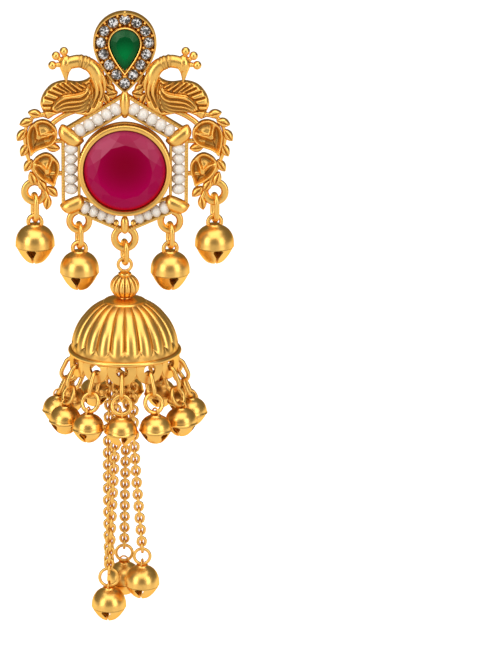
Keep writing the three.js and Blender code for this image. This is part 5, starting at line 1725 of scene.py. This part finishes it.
def chain(turn, which, aside, way):
    """A cable chain: equal oval links along a smooth line, each turned a quarter against the
    one before. A point (x, y, z) of a flat link goes to c + x A + z T + y B, where T runs
    along the line. Over its first ten links the chain twists, so that further down one link
    in two is seen face on from the front."""
    long, thick = hanging().chain_link / MM, hanging().chain_wire / MM
    x, y, ring_z, radius, _ = TASSEL_BELLS[which]
    middle, angle = HOOK_RADIUS - HOOK_WIRE / 2, TURN * turn
    inner = long / 2 - thick
    start = (middle * math.cos(angle), middle * math.sin(angle), HOOK_Z - inner + HOOK_WIRE / 2)
    end = (x, y + aside, ring_z + radius - TASSEL_WIRE + inner)
    line = spline([start, way, end], 400)
    length = np.linalg.norm(np.diff(line, axis=0), axis=1).sum()
    count = int(round(length / (long - 2 * thick))) + 1
    centres = even(line, count)
    along = np.gradient(centres, axis=0)
    along /= np.linalg.norm(along, axis=1, keepdims=True)
    quarter = math.pi / 2
    last = 2 * round((angle / quarter - count % 2) / 2) + count % 2
    twist_links = 10
    angle = angle + (last * quarter - angle) * smooth_step(np.arange(count) / twist_links)
    out = np.stack([np.cos(angle), np.sin(angle), 0 * angle], 1)
    first = np.cross(along, np.cross(out, along))
    first /= np.linalg.norm(first, axis=1, keepdims=True)
    second = np.cross(along, first)
    odd = (np.arange(count) % 2 == 1)[:, None]
    across, over = np.where(odd, second, first), np.where(odd, -first, second)
    flat = oval(long, 0.86 * long, thick, 12, 6)
    x, y, z = flat[..., :1], flat[..., 1:2], flat[..., 2:]
    shells = Shells()
    for c, a, t, b in zip(centres, across, along, over):
        shells.add(c + x * a + z * t + y * b, loop=True)
    return shells


class JHUMKA_OT_tassel(Operator):
    """The four chains and the three bells at their ends"""

    bl_idname = "jhumka.tassel"
    bl_label = "Tassel"

    def execute(self, context):
        for i, route in enumerate(CHAIN_ROUTES):
            strand = Shells().join(chain(*route), (0, HANG_Y, 0))
            name, solid = "cable_chain_%d" % (i + 1), "chain_%d" % (i + 1)
            gold_piece(name, strand, "drop", solid, sharp=80)
        wire_height = TASSEL_BELL["top"] + SMALL_EYE_DROP + TASSEL_WIRE / 2
        hung = bell(TASSEL_BELL)
        hung.add(small_eye(TASSEL_BELL["top"], wire_height), loop=True)
        for i, (x, y, ring_z, radius, turn) in enumerate(TASSEL_BELLS):
            shells = Shells().add(ring(radius, TASSEL_WIRE, (x, y + HANG_Y, ring_z)), loop=True)
            centre = ring_z - radius + TASSEL_WIRE / 2 - wire_height
            shells.join(hung, (x, y + HANG_Y, centre), turn - BELL_TURN)
            name = "end_bell_%d" % (i + 1)
            gold_piece(name, shells, "drop", "tassel_bell_%d" % (i + 1))
        return {"FINISHED"}


# Stage


# Places in metres
CAMERA_AWAY = 0.578
CAMERA_RISE = math.radians(16.8)
CAMERA_TARGET = (0.0, 0.0, -0.0469)
CAMERA_LENS = 185.2
CAMERA_SHIFT = 0.1894
FLOOR_DROP, FLOOR_HALF = 0.03, 3.0
GLOW_IN_FRONT, GLOW_BEHIND, GLOW = (0.3, 0.29, 0.28), (1, 1, 1), 0.85
WORLD_COLOUR, WORLD_STRENGTH = (1, 0.98, 0.95, 1), 0.2
LIGHT_TARGET = (0, 0, -0.05)
SOFTBOXES = [  # name, place, power in watts, width and height
    ("left_softbox", (-0.64, -0.6, 0.22), 3.1, 0.42, 0.66),
    ("right_softbox", (0.6, -0.62, 0.22), 2.6, 0.42, 0.66),
    ("top_softbox", (0.0, -0.26, 0.72), 6.0, 1.0, 1.0),
]


def aimed(name, data, place, target):
    """Puts a camera or light in the scene so that it looks from its place to the target."""
    made = bpy.data.objects.new(name, data)
    bpy.context.scene.collection.objects.link(made)
    made.location = place
    way = Vector(target) - made.location
    made.rotation_euler = way.to_track_quat("-Z", "Y").to_euler()
    return made


def floor_finish():
    """A pale floor. It glows less in front of the earring than behind it, which keeps the
    gold that mirrors it from being washed out."""
    made, shader, spot = shaded("pale_floor")
    cloud = noise(spot, 4.0, 2.0)
    pale = tuple(finishes().floor)
    plug(shader, "Base Color", cloud.mix(pale, tuple(0.985 * c for c in pale)))
    shader.inputs["Roughness"].default_value = 0.9
    depth = spot.node("ShaderNodeSeparateXYZ", Vector=spot).out("Y")
    behind = (depth * 6 + 0.5).clamped()
    plug(shader, "Emission Color", behind.mix(GLOW_IN_FRONT, GLOW_BEHIND))
    shader.inputs["Emission Strength"].default_value = GLOW
    return made


class JHUMKA_OT_stage(Operator):
    """Camera, floor, world and lights"""

    bl_idname = "jhumka.stage"
    bl_label = "Stage"

    def execute(self, context):
        scene = context.scene
        scene.view_settings.view_transform = "Standard"
        lens = bpy.data.cameras.new("front_view")
        lens.lens, lens.sensor_width, lens.shift_x = CAMERA_LENS, 36, CAMERA_SHIFT
        lens.clip_start, lens.clip_end = 0.01, 20
        x, y, z = CAMERA_TARGET
        away, rise = CAMERA_AWAY, CAMERA_RISE
        place = (x, y - away * math.cos(rise), z + away * math.sin(rise))
        scene.camera = aimed("front_view", lens, place, CAMERA_TARGET)

        low = CAD_BOX[0][2] - FLOOR_DROP
        count = 9
        corner = np.linspace(-FLOOR_HALF, FLOOR_HALF, count)
        gx, gy = np.meshgrid(corner, corner)
        points = np.stack([gx, gy, np.full(gx.shape, low)], -1).reshape(-1, 3)
        place = np.arange(count**2).reshape(count, count)
        faces = np.stack([place[:-1, :-1], place[:-1, 1:], place[1:, 1:], place[1:, :-1]], -1)
        mesh = bpy.data.meshes.new("floor")
        mesh.from_pydata(points.tolist(), [], faces.reshape(-1, 4).tolist())
        floor = bpy.data.objects.new("floor", mesh)
        scene.collection.objects.link(floor)
        mesh.materials.append(floor_finish())

        world = bpy.data.worlds.new("studio")
        world.use_nodes = True
        background = world.node_tree.nodes["Background"].inputs
        background["Color"].default_value = WORLD_COLOUR
        background["Strength"].default_value = WORLD_STRENGTH
        scene.world = world
        for name, place, power, wide, tall in SOFTBOXES:
            lamp = bpy.data.lights.new(name, "AREA")
            lamp.shape, lamp.size, lamp.size_y = "RECTANGLE", wide, tall
            lamp.energy = power
            aimed(name, lamp, place, LIGHT_TARGET)
        return {"FINISHED"}


class JHUMKA_PT_panel(Panel):
    """Lists the steps that dress the earring"""

    bl_label = "Jhumka earring"
    bl_idname = "JHUMKA_PT_panel"
    bl_space_type = "VIEW_3D"
    bl_region_type = "UI"
    bl_category = "Jhumka"

    def draw(self, context):
        for step in STEPS:
            self.layout.operator(step.bl_idname)
        for group in (stud(), hanging(), finishes()):
            box = self.layout.box()
            for name in group.bl_rna.properties.keys():
                if name not in ("rna_type", "name"):
                    box.prop(group, name)


STEPS = (
    JHUMKA_OT_stage,
    JHUMKA_OT_crest,
    JHUMKA_OT_stones,
    JHUMKA_OT_hexagon,
    JHUMKA_OT_pearls,
    JHUMKA_OT_peacocks,
    JHUMKA_OT_leaf_sprays,
    JHUMKA_OT_post,
    JHUMKA_OT_stud_bells,
    JHUMKA_OT_dome,
    JHUMKA_OT_fringe,
    JHUMKA_OT_tassel,
)
CLASSES = (StudSizes, HangingSizes, Finishes, *STEPS, JHUMKA_PT_panel)


def register():
    """Registers the classes and puts the sizes and colours on the scene."""
    for one in CLASSES:
        bpy.utils.register_class(one)
    bpy.types.Scene.jhumka_stud = PointerProperty(type=StudSizes)
    bpy.types.Scene.jhumka_hanging = PointerProperty(type=HangingSizes)
    bpy.types.Scene.jhumka_finishes = PointerProperty(type=Finishes)


def unregister():
    """Takes back what register did."""
    del bpy.types.Scene.jhumka_finishes
    del bpy.types.Scene.jhumka_hanging
    del bpy.types.Scene.jhumka_stud
    for one in reversed(CLASSES):
        bpy.utils.unregister_class(one)


def main():
    register()
    for step in STEPS:
        group, name = step.bl_idname.split(".")
        getattr(getattr(bpy.ops, group), name)()


if __name__ == "__main__":
    main()
